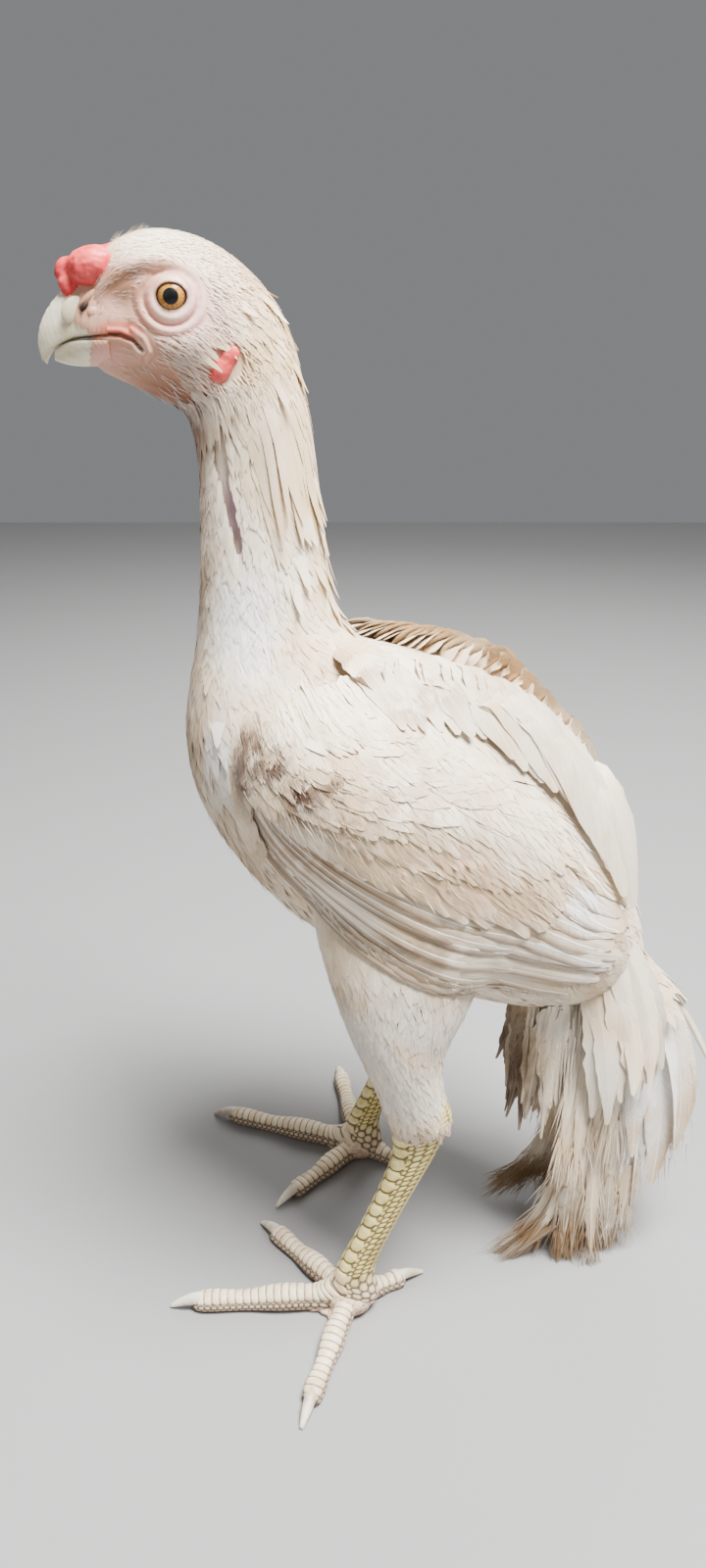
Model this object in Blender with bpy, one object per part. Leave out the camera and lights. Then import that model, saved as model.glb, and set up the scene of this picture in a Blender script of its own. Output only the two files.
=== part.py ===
# A standing aseel rooster, life size, as a still museum model.
# Metres, +Z up. The bird faces -X, its own left side is -Y, and it stands on the floor at z = 0.
# Head, neck and torso are one lofted form parted by thin gaps. Wings and tail carry their
# flight feathers as overlapping vanes. Shanks and toes carry their scutes as raised plates.

import math
import random

import bmesh
import bpy
import numpy as np
from mathutils import Matrix, Vector

# Gaps and feather thickness
GAP = 0.0003
INFLATE = 0.00036
MERGE = 0.000004
VANE_THICKNESS = 0.0008
VANE_EDGE_DROP = 0.001
SEED = 11
# How much chance moves the root and the tip of a laid feather, a wing feather and its width
LAID_ROOT_CHANCE = 0.12
LAID_TIP_CHANCE = 0.25
WING_CHANCE = 0.0012
WING_WIDTH_CHANCE = 0.06

# A vane's outline: places along it as shares of its length, and its width there as a share
VANE_SHARES = (0.0, 0.3, 0.65, 0.9, 1.0)
VANE_WIDTHS = (0.55, 0.95, 1.0, 0.76, 0.2)
HACKLE_SHARES = (0.0, 0.4, 0.8, 1.0)
HACKLE_WIDTHS = (0.6, 1.0, 0.7, 0.12)

# A body station is (back x, back z, belly x, belly z, half width). Stations run from the tail
# root forward and up to the face, and the loft is smooth through all of them.
TORSO_STATIONS = [
    (0.1330, 0.2080, 0.1130, 0.1830, 0.0200),
    (0.1300, 0.2290, 0.0900, 0.1780, 0.0350),
    (0.1210, 0.2540, 0.0520, 0.1790, 0.0490),
    (0.1060, 0.2830, 0.0030, 0.1930, 0.0590),
    (0.0860, 0.3130, -0.0420, 0.2150, 0.0650),
    (0.0640, 0.3410, -0.0810, 0.2450, 0.0690),
    (0.0400, 0.3650, -0.1090, 0.2780, 0.0690),
    (0.0140, 0.3830, -0.1270, 0.3130, 0.0640),
    (-0.0130, 0.3920, -0.1320, 0.3450, 0.0530),
    (-0.0350, 0.3980, -0.1290, 0.3730, 0.0400),
]
NECK_STATIONS = [
    (-0.0350, 0.3980, -0.1290, 0.3730, 0.0400),
    (-0.0480, 0.4120, -0.1240, 0.3980, 0.0310),
    (-0.0530, 0.4350, -0.1205, 0.4280, 0.0265),
    (-0.0570, 0.4670, -0.1190, 0.4620, 0.0240),
    (-0.0610, 0.5060, -0.1185, 0.4910, 0.0230),
    (-0.0655, 0.5300, -0.1220, 0.5110, 0.0225),
]
HEAD_STATIONS = [
    (-0.0655, 0.5300, -0.1220, 0.5110, 0.0225),
    (-0.0690, 0.5460, -0.1290, 0.5170, 0.0228),
    (-0.0770, 0.5640, -0.1380, 0.5215, 0.0232),
    (-0.0920, 0.5810, -0.1465, 0.5255, 0.0230),
    (-0.1120, 0.5930, -0.1540, 0.5290, 0.0218),
    (-0.1340, 0.5970, -0.1600, 0.5320, 0.0198),
    (-0.1530, 0.5920, -0.1645, 0.5345, 0.0166),
    (-0.1670, 0.5800, -0.1670, 0.5360, 0.0122),
]
BODY_SIDES = 20
HEAD_SIDES = 20

# Hackles and saddle feathers lie along the body. A row is (half angle, root station, tip station,
# lift at root, lift at tip, angles round the section in degrees, where 90 is the back)
HACKLE_ROWS = [
    (17, 14.4, 12.0, -0.0012, 0.0022, (64, 20, -24)),
    (17, 12.4, 8.8, -0.0012, 0.0030, (70, 32, -6, -44)),
]
SADDLE_ROWS = [(15, 4.4, 1.0, -0.0015, 0.0032, (62, 28)), (16, 2.4, -1.1, -0.0015, 0.0028, (70, 34))]
BEHIND_TORSO = (0.1490, 0.1900, 0.1200, 0.1600, 0.0215)

# Beak: stations as above, the upper half down to the mouth line and the lower half up to it
BEAK_UPPER_STATIONS = [
    (-0.1673, 0.5780, -0.1673, 0.5492, 0.0114),
    (-0.1765, 0.5730, -0.1745, 0.5486, 0.0096),
    (-0.1855, 0.5650, -0.1812, 0.5466, 0.0074),
    (-0.1915, 0.5560, -0.1866, 0.5435, 0.0050),
    (-0.1938, 0.5470, -0.1892, 0.5400, 0.0028),
    (-0.1926, 0.5392, -0.1902, 0.5374, 0.0010),
]
BEAK_LOWER_STATIONS = [
    (-0.1673, 0.5488, -0.1673, 0.5366, 0.0108),
    (-0.1745, 0.5482, -0.1752, 0.5364, 0.0090),
    (-0.1805, 0.5462, -0.1815, 0.5372, 0.0064),
    (-0.1850, 0.5436, -0.1860, 0.5388, 0.0036),
]
BEAK_SIDES = 12
BEAK_UPPER_WAIST = 0.08
BEAK_LOWER_WAIST = 0.92

# Face: eye, lids, mouth corner, nostril, comb and earlobe. Places are (x, z) on the side of the head
EYE_PLACE = (-0.1243, 0.5672)
EYE_RADIUS = 0.0095
EYE_DEPTH = 0.0143
LID_RADIUS = 0.0086
LID_THICKNESS = 0.0021
LID_DEPTH = 0.0212
LID_TURN = 5
LID_SEGMENTS = (16, 5)
MOUTH_CORNER = (-0.1400, 0.5440)
MOUTH_START = (-0.1690, 0.5488)
MOUTH_SLIT = 0.0009
MOUTH_CUT_PLACE = 0.020
MOUTH_CUT_WIDTH = 0.026
NOSTRIL_PLACE = (-0.1712, 0.5618)
NOSTRIL_DEPTH = 0.0096
NOSTRIL_SIZE = (0.0030, 0.0028, 0.0014)
NOSTRIL_SLOPE = -30
# A comb bulb is (x, z, distance from the middle plane, radius), and is longer along the comb's slope
COMB_BULBS = [
    (-0.1755, 0.5752, 0.0, 0.0048),
    (-0.1660, 0.5805, 0.0, 0.0070),
    (-0.1580, 0.5850, 0.0, 0.0056),
    (-0.1720, 0.5735, 0.0058, 0.0046),
    (-0.1630, 0.5790, 0.0064, 0.0066),
]
COMB_LENGTHENING = 1.35
COMB_SLOPE = -20
LOBE_PLACE = (-0.1015, 0.5375)
LOBE_DEPTH = 0.0205
LOBE_SIZE = (0.0046, 0.0034, 0.0068)
LOBE_SLOPE = 35

# Legs. A leg station is (front x, front z, rear x, rear z, half width, y), and +Y is mirrored
THIGH_STATIONS = [
    (-0.0620, 0.3050, 0.0380, 0.3050, 0.0200, -0.0380),
    (-0.0620, 0.2620, 0.0380, 0.2520, 0.0300, -0.0500),
    (-0.0540, 0.2270, 0.0260, 0.2120, 0.0290, -0.0580),
    (-0.0430, 0.1940, 0.0120, 0.1800, 0.0240, -0.0630),
    (-0.0290, 0.1600, 0.0110, 0.1580, 0.0180, -0.0660),
    (-0.0175, 0.1260, 0.0160, 0.1360, 0.0138, -0.0670),
]
SHANK_STATIONS = [
    (-0.0168, 0.1260, 0.0155, 0.1360, 0.0128, -0.0670),
    (-0.0175, 0.1060, 0.0080, 0.1150, 0.0096, -0.0680),
    (-0.0330, 0.0640, -0.0120, 0.0710, 0.0080, -0.0700),
    (-0.0490, 0.0290, -0.0270, 0.0330, 0.0086, -0.0725),
    (-0.0560, 0.0110, -0.0280, 0.0100, 0.0100, -0.0730),
]
THIGH_SIDES = 14
SHANK_SIDES = 10
SHANK_SCUTES = 10
SCUTE_RISE = 0.0011
SHANK_PLATED = (0.16, 0.92)  # from where to where along it, as shares, the shank bears scutes

# Feet. A toe is (name, tip x, tip y, radius at the pad, radius at the claw, scutes)
PAD_LEFT = (-0.0420, -0.0730)
PAD_RIGHT = (-0.0360, 0.0650)
PAD_SIZE = (0.0165, 0.0155, 0.0130)
PAD_HEIGHT = 0.0105
TOES_LEFT = [
    ("middle", -0.1510, -0.0750, 0.0074, 0.0052, 9),
    ("outer", -0.0680, -0.1570, 0.0070, 0.0048, 7),
    ("inner", -0.1010, -0.0060, 0.0068, 0.0048, 6),
    ("hind", 0.0040, -0.0480, 0.0062, 0.0046, 3),
]
TOES_RIGHT = [
    ("middle", -0.1450, 0.1060, 0.0074, 0.0052, 9),
    ("outer", -0.0520, 0.1630, 0.0070, 0.0048, 7),
    ("inner", -0.0920, 0.0080, 0.0068, 0.0048, 6),
    ("hind", 0.0100, 0.0420, 0.0062, 0.0046, 3),
]
TOE_SIDES = 8
TOE_PLATED = (0.17, 0.97)
TOE_START = 0.05
TOE_ARCH = 0.0035
TOE_HEIGHT_SHARE = 0.88
TOE_SCUTE_SHARE = 0.8
TOE_END_SHARES = (0.9, 0.86)  # how much of its full radius a toe keeps at its start and its end
CLAW_LENGTH = 0.0145
CLAW_SIDES = 6
CLAW_SHARES = (0.0, 0.3, 0.6, 0.85, 1.0)
CLAW_ROOT_SHARE = 0.66
CLAW_TAPER = 0.74
CLAW_HEIGHT_SHARE = 0.95

# Wing. Places are (x, z) on the side of the bird, and a height is measured outwards from the
# lie, the smooth surface just off the torso on which the folded wing rests
LIE_SOFTNESS = 0.034
LIE_BLEND = 0.35  # a feather is bent to the lie by this much less than the lie itself
ARM_CENTRE = (-0.0470, 0.3230)
ARM_SIZE = (0.0600, 0.0135, 0.0470)
ARM_SLOPE = 36

# A tier of vanes is (name, count, half width, height at root, height at tip, first path, last path),
# and a path is its root, its bend and its tip. The first feather lies nearest the back
WING_TIERS = [
    ("primary", 4, 0.0075, 0.0016, 0.0012,
     [(-0.0600, 0.2880), (-0.0180, 0.2400), (0.0900, 0.2200)],
     [(-0.0760, 0.2980), (-0.0530, 0.2480), (0.0280, 0.2170)]),
    ("secondary", 6, 0.0165, 0.0042, 0.0036,
     [(-0.0100, 0.3440), (0.0480, 0.3290), (0.1030, 0.2720)],
     [(-0.0450, 0.2900), (0.0080, 0.2430), (0.1010, 0.2300)]),
    ("great_covert", 5, 0.0165, 0.0082, 0.0066,
     [(-0.0300, 0.3490), (0.0120, 0.3450), (0.0560, 0.3180)],
     [(-0.0620, 0.3020), (-0.0360, 0.2700), (0.0180, 0.2470)]),
    ("middle_covert", 4, 0.0170, 0.0118, 0.0102,
     [(-0.0470, 0.3540), (-0.0150, 0.3560), (0.0200, 0.3380)],
     [(-0.0720, 0.3150), (-0.0560, 0.2890), (-0.0200, 0.2670)]),
]
SHINGLE = 0.0013

# Tail: vanes of the left side as (half width, root, bend, tip), mirrored for the right side
TAIL_STUMP_STATIONS = [
    (0.1333, 0.2076, 0.1133, 0.1826, 0.0196),
    (0.1440, 0.1960, 0.1210, 0.1710, 0.0180),
    (0.1495, 0.1810, 0.1290, 0.1580, 0.0140),
    (0.1480, 0.1680, 0.1370, 0.1540, 0.0080),
]
TAIL_VANES = [
    (0.0125, (0.1320, -0.0140, 0.1980), (0.1490, -0.0300, 0.1680), (0.1490, -0.0350, 0.1120)),
    (0.0165, (0.1390, -0.0040, 0.1860), (0.1590, -0.0120, 0.1420), (0.1510, -0.0190, 0.0620)),
    (0.0160, (0.1380, -0.0060, 0.1820), (0.1490, -0.0160, 0.1220), (0.1410, -0.0240, 0.0320)),
    (0.0150, (0.1360, -0.0080, 0.1760), (0.1370, -0.0210, 0.1020), (0.1280, -0.0290, 0.0050)),
    (0.0140, (0.1340, -0.0090, 0.1720), (0.1270, -0.0270, 0.0920), (0.1090, -0.0350, 0.0030)),
    (0.0120, (0.1320, -0.0100, 0.1700), (0.1150, -0.0330, 0.0350), (0.0640, -0.0360, 0.0030)),
    (0.0150, (0.1290, -0.0110, 0.1740), (0.1130, -0.0350, 0.1180), (0.0980, -0.0410, 0.0520)),
    (0.0160, (0.1260, -0.0120, 0.1760), (0.1030, -0.0310, 0.1400), (0.0810, -0.0350, 0.0830)),
]
SICKLE = (0.0030, (0.1420, -0.0010, 0.1900), (0.1700, -0.0020, 0.1650), (0.1950, -0.0030, 0.0980))
TAIL_RIGHT_SHORTER = 0.94
TAIL_RIGHT_SPREAD = 0.6


def clear_scene():
    for obj in list(bpy.data.objects):
        bpy.data.objects.remove(obj, do_unlink=True)


def make_material(name, colour, roughness):
    material = bpy.data.materials.new(name)
    material.use_nodes = True
    shader = material.node_tree.nodes["Principled BSDF"]
    shader.inputs["Base Color"].default_value = (*colour, 1.0)
    shader.inputs["Roughness"].default_value = roughness
    shader.inputs["Metallic"].default_value = 0.0
    return material


def new_object(name, mesh, collection, material=None):
    obj = bpy.data.objects.new(name, mesh)
    collection.objects.link(obj)
    if material:
        mesh.materials.clear()
        mesh.materials.append(material)
    return obj


def mesh_from(bm, name):
    mesh = bpy.data.meshes.new(name)
    bm.to_mesh(mesh)
    bm.free()
    return mesh


def smooth_rows(stations, per_span):
    """Rows through every station on a Catmull-Rom curve, per_span rows to each span."""
    rows = np.array(stations, float)
    padded = np.vstack([2 * rows[0] - rows[1], rows, 2 * rows[-1] - rows[-2]])
    found = []
    for i in range(len(rows) - 1):
        a, b, c, d = padded[i : i + 4]
        for t in np.arange(per_span) / per_span:
            found.append(
                0.5 * (2 * b + (c - a) * t + (2 * a - 5 * b + 4 * c - d) * t**2
                       + (3 * b - a - 3 * c + d) * t**3)
            )
    found.append(rows[-1])
    return np.array(found)


def skin_rings(bm, rings):
    """Quads between neighbouring rings of points, with both ends closed."""
    loops = [[bm.verts.new(point) for point in ring] for ring in rings]
    sides = len(loops[0])
    for low, high in zip(loops, loops[1:]):
        for i in range(sides):
            j = (i + 1) % sides
            bm.faces.new((low[i], low[j], high[j], high[i]))
    bm.faces.new(loops[0][::-1])
    bm.faces.new(loops[-1])
    bmesh.ops.recalc_face_normals(bm, faces=bm.faces)


def section_ring(row, sides, waist, plate=0.0):
    """A ring through a station: two half ellipses that meet at the waist, a share of the way
    from belly to back."""
    back = Vector((row[0], 0, row[1]))
    belly = Vector((row[2], 0, row[3]))
    y = row[5] if len(row) > 5 else 0.0
    centre = belly.lerp(back, waist) + Vector((0, y, 0))
    ring = []
    for i in range(sides):
        angle = 2 * math.pi * (i + 0.5) / sides
        up = math.sin(angle)
        reach = (back - belly) * ((1 - waist) * up if up > 0 else waist * up)
        side = Vector((0, math.cos(angle) * row[4], 0))
        point = centre + reach + side
        if plate and up < 0:
            point -= (back - belly).normalized() * plate * -up
        ring.append(point)
    return ring


def loft(name, stations, sides, per_span, waist=0.5, mirror=False):
    bm = bmesh.new()
    rows = smooth_rows(stations, per_span)
    if mirror:
        rows[:, 5] *= -1
    skin_rings(bm, [section_ring(row, sides, waist) for row in rows])
    return mesh_from(bm, name)


def ellipsoid(name, centre, size, slope=0.0, rings=8, segments=14):
    """A sphere scaled to size, turned by slope degrees about Y and moved to centre."""
    bm = bmesh.new()
    bmesh.ops.create_uvsphere(bm, u_segments=segments, v_segments=rings, radius=1.0)
    turn = Matrix.Rotation(math.radians(slope), 4, "Y")
    bmesh.ops.transform(
        bm, verts=bm.verts, matrix=Matrix.Translation(centre) @ turn @ Matrix.Diagonal((*size, 1.0))
    )
    return mesh_from(bm, name)


def inflated(obj, amount=INFLATE):
    """A copy of the object's mesh grown by amount, used as a cutter that leaves the gap."""
    bm = bmesh.new()
    bm.from_mesh(obj.data)
    bm.normal_update()
    moves = [(v, v.normal * min(v.calc_shell_factor(), 1.8)) for v in bm.verts]
    for v, move in moves:
        v.co += move * amount
    mesh = mesh_from(bm, obj.name + "_grown")
    copy = bpy.data.objects.new(mesh.name, mesh)
    cutters.objects.link(copy)
    copy.hide_render = True
    copy.display_type = "WIRE"
    return copy


def keep_largest(mesh):
    """Only the closed surface with the largest volume stays in the mesh."""
    bm = bmesh.new()
    bm.from_mesh(mesh)
    left = set(bm.faces)
    pieces = []
    while left:
        piece = {left.pop()}
        edge_of_piece = list(piece)
        while edge_of_piece:
            face = edge_of_piece.pop()
            for edge in face.edges:
                for near in edge.link_faces:
                    if near in left:
                        left.discard(near)
                        piece.add(near)
                        edge_of_piece.append(near)
        volume = 0.0
        for face in piece:
            corners = [v.co for v in face.verts]
            for b, c in zip(corners[1:], corners[2:]):
                volume += corners[0].dot(b.cross(c)) / 6
        pieces.append((volume, piece))
    largest = max(pieces, key=lambda entry: entry[0])[1]
    bmesh.ops.delete(bm, geom=[f for f in bm.faces if f not in largest], context="FACES")
    bmesh.ops.delete(bm, geom=[v for v in bm.verts if not v.link_faces], context="VERTS")
    bmesh.ops.dissolve_degenerate(bm, dist=MERGE, edges=bm.edges)
    bm.to_mesh(mesh)
    bm.free()


def apply_boolean(obj, operation, others, solver="EXACT"):
    """Joins or cuts obj with a group of closed objects, and then removes them."""
    group = bpy.data.collections.new("operands")
    bpy.context.scene.collection.children.link(group)
    for other in others:
        for owner in list(other.users_collection):
            owner.objects.unlink(other)
        group.objects.link(other)
    boolean = obj.modifiers.new("join", "BOOLEAN")
    boolean.operation = operation
    boolean.operand_type = "COLLECTION"
    boolean.collection = group
    boolean.solver = solver
    graph = bpy.context.evaluated_depsgraph_get()
    graph.update()
    mesh = bpy.data.meshes.new_from_object(obj.evaluated_get(graph))
    mesh.name = obj.name
    obj.modifiers.clear()
    materials = list(obj.data.materials)
    obj.data = mesh
    mesh.materials.clear()
    for material in materials:
        mesh.materials.append(material)
    for other in list(group.objects):
        bpy.data.objects.remove(other, do_unlink=True)
    bpy.data.collections.remove(group)
    keep_largest(mesh)
    return obj


def cut_clear(obj, *neighbours):
    """Cuts the object back from its neighbours, so that they meet face to face across the gap."""
    for neighbour in neighbours:
        apply_boolean(obj, "DIFFERENCE", [inflated(neighbour)])
    return obj


def body_row(place):
    """The whole body's section at a place counted in stations from the tail root forward."""
    rows = np.array(TORSO_STATIONS + NECK_STATIONS[1:] + HEAD_STATIONS[1:])
    if place <= 0:
        return rows[0] * (1 + place) - np.array(BEHIND_TORSO) * place
    i = min(int(place), len(rows) - 2)
    padded = np.vstack([2 * rows[0] - rows[1], rows, 2 * rows[-1] - rows[-2]])
    a, b, c, d = padded[i : i + 4]
    t = place - i
    return 0.5 * (2 * b + (c - a) * t + (2 * a - 5 * b + 4 * c - d) * t**2
                  + (3 * b - a - 3 * c + d) * t**3)


def body_point(place, degrees, lift, side):
    """A point above the body's skin, and the way out from it."""
    row = body_row(place)
    back, belly = Vector((row[0], 0, row[1])), Vector((row[2], 0, row[3]))
    angle = math.radians(degrees)
    reach, across = (back - belly) / 2, Vector((0, side * row[4], 0))
    point = (back + belly) / 2 + reach * math.sin(angle) + across * math.cos(angle)
    out = reach.normalized() * math.sin(angle) / reach.length
    out = (out + Vector((0, side, 0)) * math.cos(angle) / row[4]).normalized()
    return point + out * lift, out


def laid_vanes(rows):
    """Vanes that follow the body's own surface, on both sides of it."""
    pieces = []
    for half, root, tip, low, high, angles in rows:
        for degrees in angles:
            for side in (-1, 1):
                begin, end = root + jitter(LAID_ROOT_CHANCE), tip + jitter(LAID_TIP_CHANCE)

                def place(u, v, degrees=degrees, side=side, begin=begin, end=end):
                    where = begin + (end - begin) * v
                    point, _ = body_point(where, degrees + u * half, low + (high - low) * v, side)
                    return point

                _, out = body_point((begin + end) / 2, degrees, 0.0, side)
                thick = out * VANE_THICKNESS
                pieces.append(vane("laid_vane", place, thick, HACKLE_SHARES, HACKLE_WIDTHS))
    return pieces


def shade(obj, degrees=40):
    obj.data.shade_smooth()
    obj.data.set_sharp_from_angle(angle=math.radians(degrees))


def shifted(station, along):
    """The station moved a little in its own body plane, square to its section."""
    back = Vector((station[0], station[1]))
    belly = Vector((station[2], station[3]))
    line = (back - belly).normalized()
    step = Vector((-line.y, line.x)) * along
    return (back.x + step.x, back.y + step.y, belly.x + step.x, belly.y + step.y, *station[4:])


def make_body():
    """Torso, neck and head: one loft, parted at the base of the neck and under the jaw."""
    torso = new_object(
        "torso", loft("torso", TORSO_STATIONS, BODY_SIDES, 2), bird, feather_white
    )
    neck_stations = list(NECK_STATIONS)
    neck_stations[0] = shifted(neck_stations[0], GAP)
    neck = new_object("neck", loft("neck", neck_stations, HEAD_SIDES, 2), bird, feather_cream)
    head_stations = list(HEAD_STATIONS)
    head_stations[0] = shifted(head_stations[0], GAP)
    head = new_object("head", loft("head", head_stations, HEAD_SIDES, 2), bird, face_skin)
    apply_boolean(torso, "UNION", laid_vanes(SADDLE_ROWS))
    apply_boolean(neck, "UNION", laid_vanes(HACKLE_ROWS))
    cut_clear(neck, torso, head)
    return torso, neck, head


def side_point(place, depth, side):
    return Vector((place[0], side * depth, place[1]))


def helper(name, mesh):
    """An object that a Boolean will use up."""
    return new_object(name, mesh, cutters)


def lid_ring(name, side):
    bpy.ops.mesh.primitive_torus_add(
        major_radius=LID_RADIUS, minor_radius=LID_THICKNESS,
        major_segments=LID_SEGMENTS[0], minor_segments=LID_SEGMENTS[1],
        location=side_point(EYE_PLACE, LID_DEPTH, side),
        rotation=(math.radians(90), 0, math.radians(-side * LID_TURN)),
    )
    ring = bpy.context.object
    ring.name = name
    ring.data.transform(ring.matrix_world)
    ring.matrix_world = Matrix.Identity(4)
    return ring


def mouth_cutter(side):
    """A thin slab along the line of the mouth, from the beak back to its corner."""
    start = Vector((MOUTH_START[0], 0, MOUTH_START[1]))
    corner = Vector((MOUTH_CORNER[0], 0, MOUTH_CORNER[1]))
    middle = (start + corner) / 2 + Vector((0, side * MOUTH_CUT_PLACE, 0))
    bm = bmesh.new()
    bmesh.ops.create_cube(bm, size=1.0)
    slope = math.atan2(start.z - corner.z, corner.x - start.x)
    size = Matrix.Diagonal(((corner - start).length, MOUTH_CUT_WIDTH, MOUTH_SLIT, 1.0))
    turn = Matrix.Rotation(slope, 4, "Y")
    bmesh.ops.transform(bm, verts=bm.verts, matrix=Matrix.Translation(middle) @ turn @ size)
    return helper("mouth_cutter", mesh_from(bm, "mouth_cutter"))


def make_face(head):
    """Eyes in their sockets, raised lids, mouth line, beak with nostrils, comb and earlobes."""
    for side in (-1, 1):
        apply_boolean(head, "UNION", [lid_ring("lid", side)])
        apply_boolean(head, "DIFFERENCE", [mouth_cutter(side)])
    for side, name in ((-1, "eye_left"), (1, "eye_right")):
        centre = side_point(EYE_PLACE, EYE_DEPTH, side)
        mesh = ellipsoid(name, centre, (EYE_RADIUS,) * 3, rings=8, segments=14)
        eye = new_object(name, mesh, bird, eye_amber)
        cut_clear(head, eye)
    upper = new_object(
        "beak_upper", loft("beak_upper", BEAK_UPPER_STATIONS, BEAK_SIDES, 2, BEAK_UPPER_WAIST), bird, horn
    )
    lower = new_object(
        "beak_lower", loft("beak_lower", BEAK_LOWER_STATIONS, BEAK_SIDES, 2, BEAK_LOWER_WAIST), bird, horn
    )
    for side in (-1, 1):
        centre = side_point(NOSTRIL_PLACE, NOSTRIL_DEPTH, side)
        mesh = ellipsoid("nostril", centre, NOSTRIL_SIZE, slope=NOSTRIL_SLOPE, rings=6, segments=8)
        apply_boolean(upper, "DIFFERENCE", [helper("nostril", mesh)])
    cut_clear(lower, upper)
    make_comb(head, upper)
    for side, name in ((-1, "earlobe_left"), (1, "earlobe_right")):
        centre = side_point(LOBE_PLACE, LOBE_DEPTH, side)
        mesh = ellipsoid(name, centre, LOBE_SIZE, slope=LOBE_SLOPE, rings=6, segments=10)
        cut_clear(new_object(name, mesh, bird, comb_red), head)


def make_comb(head, upper):
    """A low pea comb: a middle ridge of bulbs and a lower ridge on each side of it."""
    bulbs = []
    for x, z, y, radius in COMB_BULBS:
        for side in (-1, 1) if y else (1,):
            centre = (x, side * y, z)
            size = (radius * COMB_LENGTHENING, radius, radius)
            mesh = ellipsoid("bulb", centre, size, slope=COMB_SLOPE, rings=7, segments=10)
            bulbs.append(helper("bulb", mesh))
    comb = bulbs.pop(0)
    cutters.objects.unlink(comb)
    bird.objects.link(comb)
    comb.name = "comb"
    comb.data.materials.append(comb_red)
    apply_boolean(comb, "UNION", bulbs)
    cut_clear(comb, head, upper)


def plated_rows(stations, scutes):
    """Rows of a shank in pairs, so that each scute rises to its lower edge and then drops."""
    rows = smooth_rows(stations, 12)
    places = np.linspace(*SHANK_PLATED, scutes + 1) * (len(rows) - 1)
    found = [(rows[0], 0.0)]
    for start, end in zip(places, places[1:]):
        for place, rise in ((start + 0.06 * (end - start), 0.0), (end, SCUTE_RISE)):
            low = int(place)
            share = place - low
            found.append((rows[low] * (1 - share) + rows[min(low + 1, len(rows) - 1)] * share, rise))
    found.append((rows[-1], 0.0))
    return found


def make_leg(side, name, torso, pad_place, toes):
    """Thigh, shank, foot pad, four toes and four claws of one leg."""
    mirror = side > 0
    thigh = new_object(
        f"thigh_{name}",
        loft("thigh", THIGH_STATIONS, THIGH_SIDES, 2, mirror=mirror), bird, feather_white,
    )
    cut_clear(thigh, torso)
    bm = bmesh.new()
    stations = [shifted(s, GAP if i == 0 else 0.0) for i, s in enumerate(SHANK_STATIONS)]
    shift = (pad_place[0] - PAD_LEFT[0], abs(pad_place[1]) - abs(PAD_LEFT[1]))
    rings = []
    plated = plated_rows(stations, SHANK_SCUTES)
    for row, rise in plated:
        share = (plated[0][0][1] - row[1]) / (plated[0][0][1] - plated[-1][0][1])
        row = row.copy()
        row[[0, 2]] += shift[0] * share
        row[5] = (row[5] - shift[1] * share) * (-1 if mirror else 1)
        turned = (row[2], row[3], row[0], row[1], row[4], row[5])
        rings.append(section_ring(turned, SHANK_SIDES, 0.5, plate=rise))
    skin_rings(bm, rings)
    shank = new_object(f"shank_{name}", mesh_from(bm, "shank"), bird, shank_yellow)
    cut_clear(shank, thigh)
    pad = make_pad(f"foot_{name}", pad_place)
    cut_clear(shank, pad)
    made = []
    for toe in toes:
        made.append(make_toe(name, toe, pad_place, pad, shank, made))
    return thigh


def floor_cut(obj):
    """A flat sole at floor level."""
    bm = bmesh.new()
    bmesh.ops.create_cube(bm, size=1.0)
    bmesh.ops.translate(bm, verts=bm.verts, vec=(0, 0, -0.5))
    return apply_boolean(obj, "DIFFERENCE", [helper("floor_cutter", mesh_from(bm, "floor_cutter"))])


def make_pad(name, place):
    centre = (place[0], place[1], PAD_HEIGHT)
    mesh = ellipsoid(name, centre, PAD_SIZE, rings=8, segments=14)
    return floor_cut(new_object(name, mesh, bird, toe_cream))


def toe_ring(centre, across, radius, plate, lowest=0.0):
    ring = []
    for i in range(TOE_SIDES):
        angle = 2 * math.pi * (i + 0.5) / TOE_SIDES
        rise = plate if math.sin(angle) > 0 else 0.0
        point = centre + across * math.cos(angle) * radius
        point.z += math.sin(angle) * (radius + rise)
        point.z = max(point.z, lowest)
        ring.append(point)
    return ring


def make_toe(foot, toe, pad_place, pad, shank, others):
    """A toe with raised scutes along its top, flat on the floor, and its claw beyond it."""
    label, tip_x, tip_y, thick, thin, scutes = toe
    start = Vector((pad_place[0], pad_place[1], 0))
    tip = Vector((tip_x, tip_y, 0))
    way = (tip - start).normalized()
    across = Vector((-way.y, way.x, 0))
    length = (tip - start).length - CLAW_LENGTH

    def centre_at(share):
        radius = thick + (thin - thick) * share
        arch = TOE_ARCH * math.sin(math.pi * min(1.0, share * 1.4)) * (1 - share)
        height = radius * TOE_HEIGHT_SHARE + arch
        return start + way * length * share + Vector((0, 0, height)), radius

    rings = []
    centre, radius = centre_at(TOE_START)
    rings.append(toe_ring(centre, across, radius * TOE_END_SHARES[0], 0.0))
    places = np.linspace(*TOE_PLATED, scutes + 1)
    full = SCUTE_RISE * TOE_SCUTE_SHARE
    for begin, end in zip(places, places[1:]):
        for share, rise in ((begin + 0.08 * (end - begin), 0.0), (end, full)):
            centre, radius = centre_at(share)
            rings.append(toe_ring(centre, across, radius, rise))
    centre, radius = centre_at(1.0)
    rings.append(toe_ring(centre, across, radius * TOE_END_SHARES[1], 0.0))
    bm = bmesh.new()
    skin_rings(bm, rings)
    name = f"toe_{foot}_{label}"
    obj = new_object(name, mesh_from(bm, name), bird, toe_cream)
    cut_clear(obj, pad, shank, *others)
    make_claw(f"claw_{foot}_{label}", start + way * length, way, across, thin)
    return obj


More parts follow.
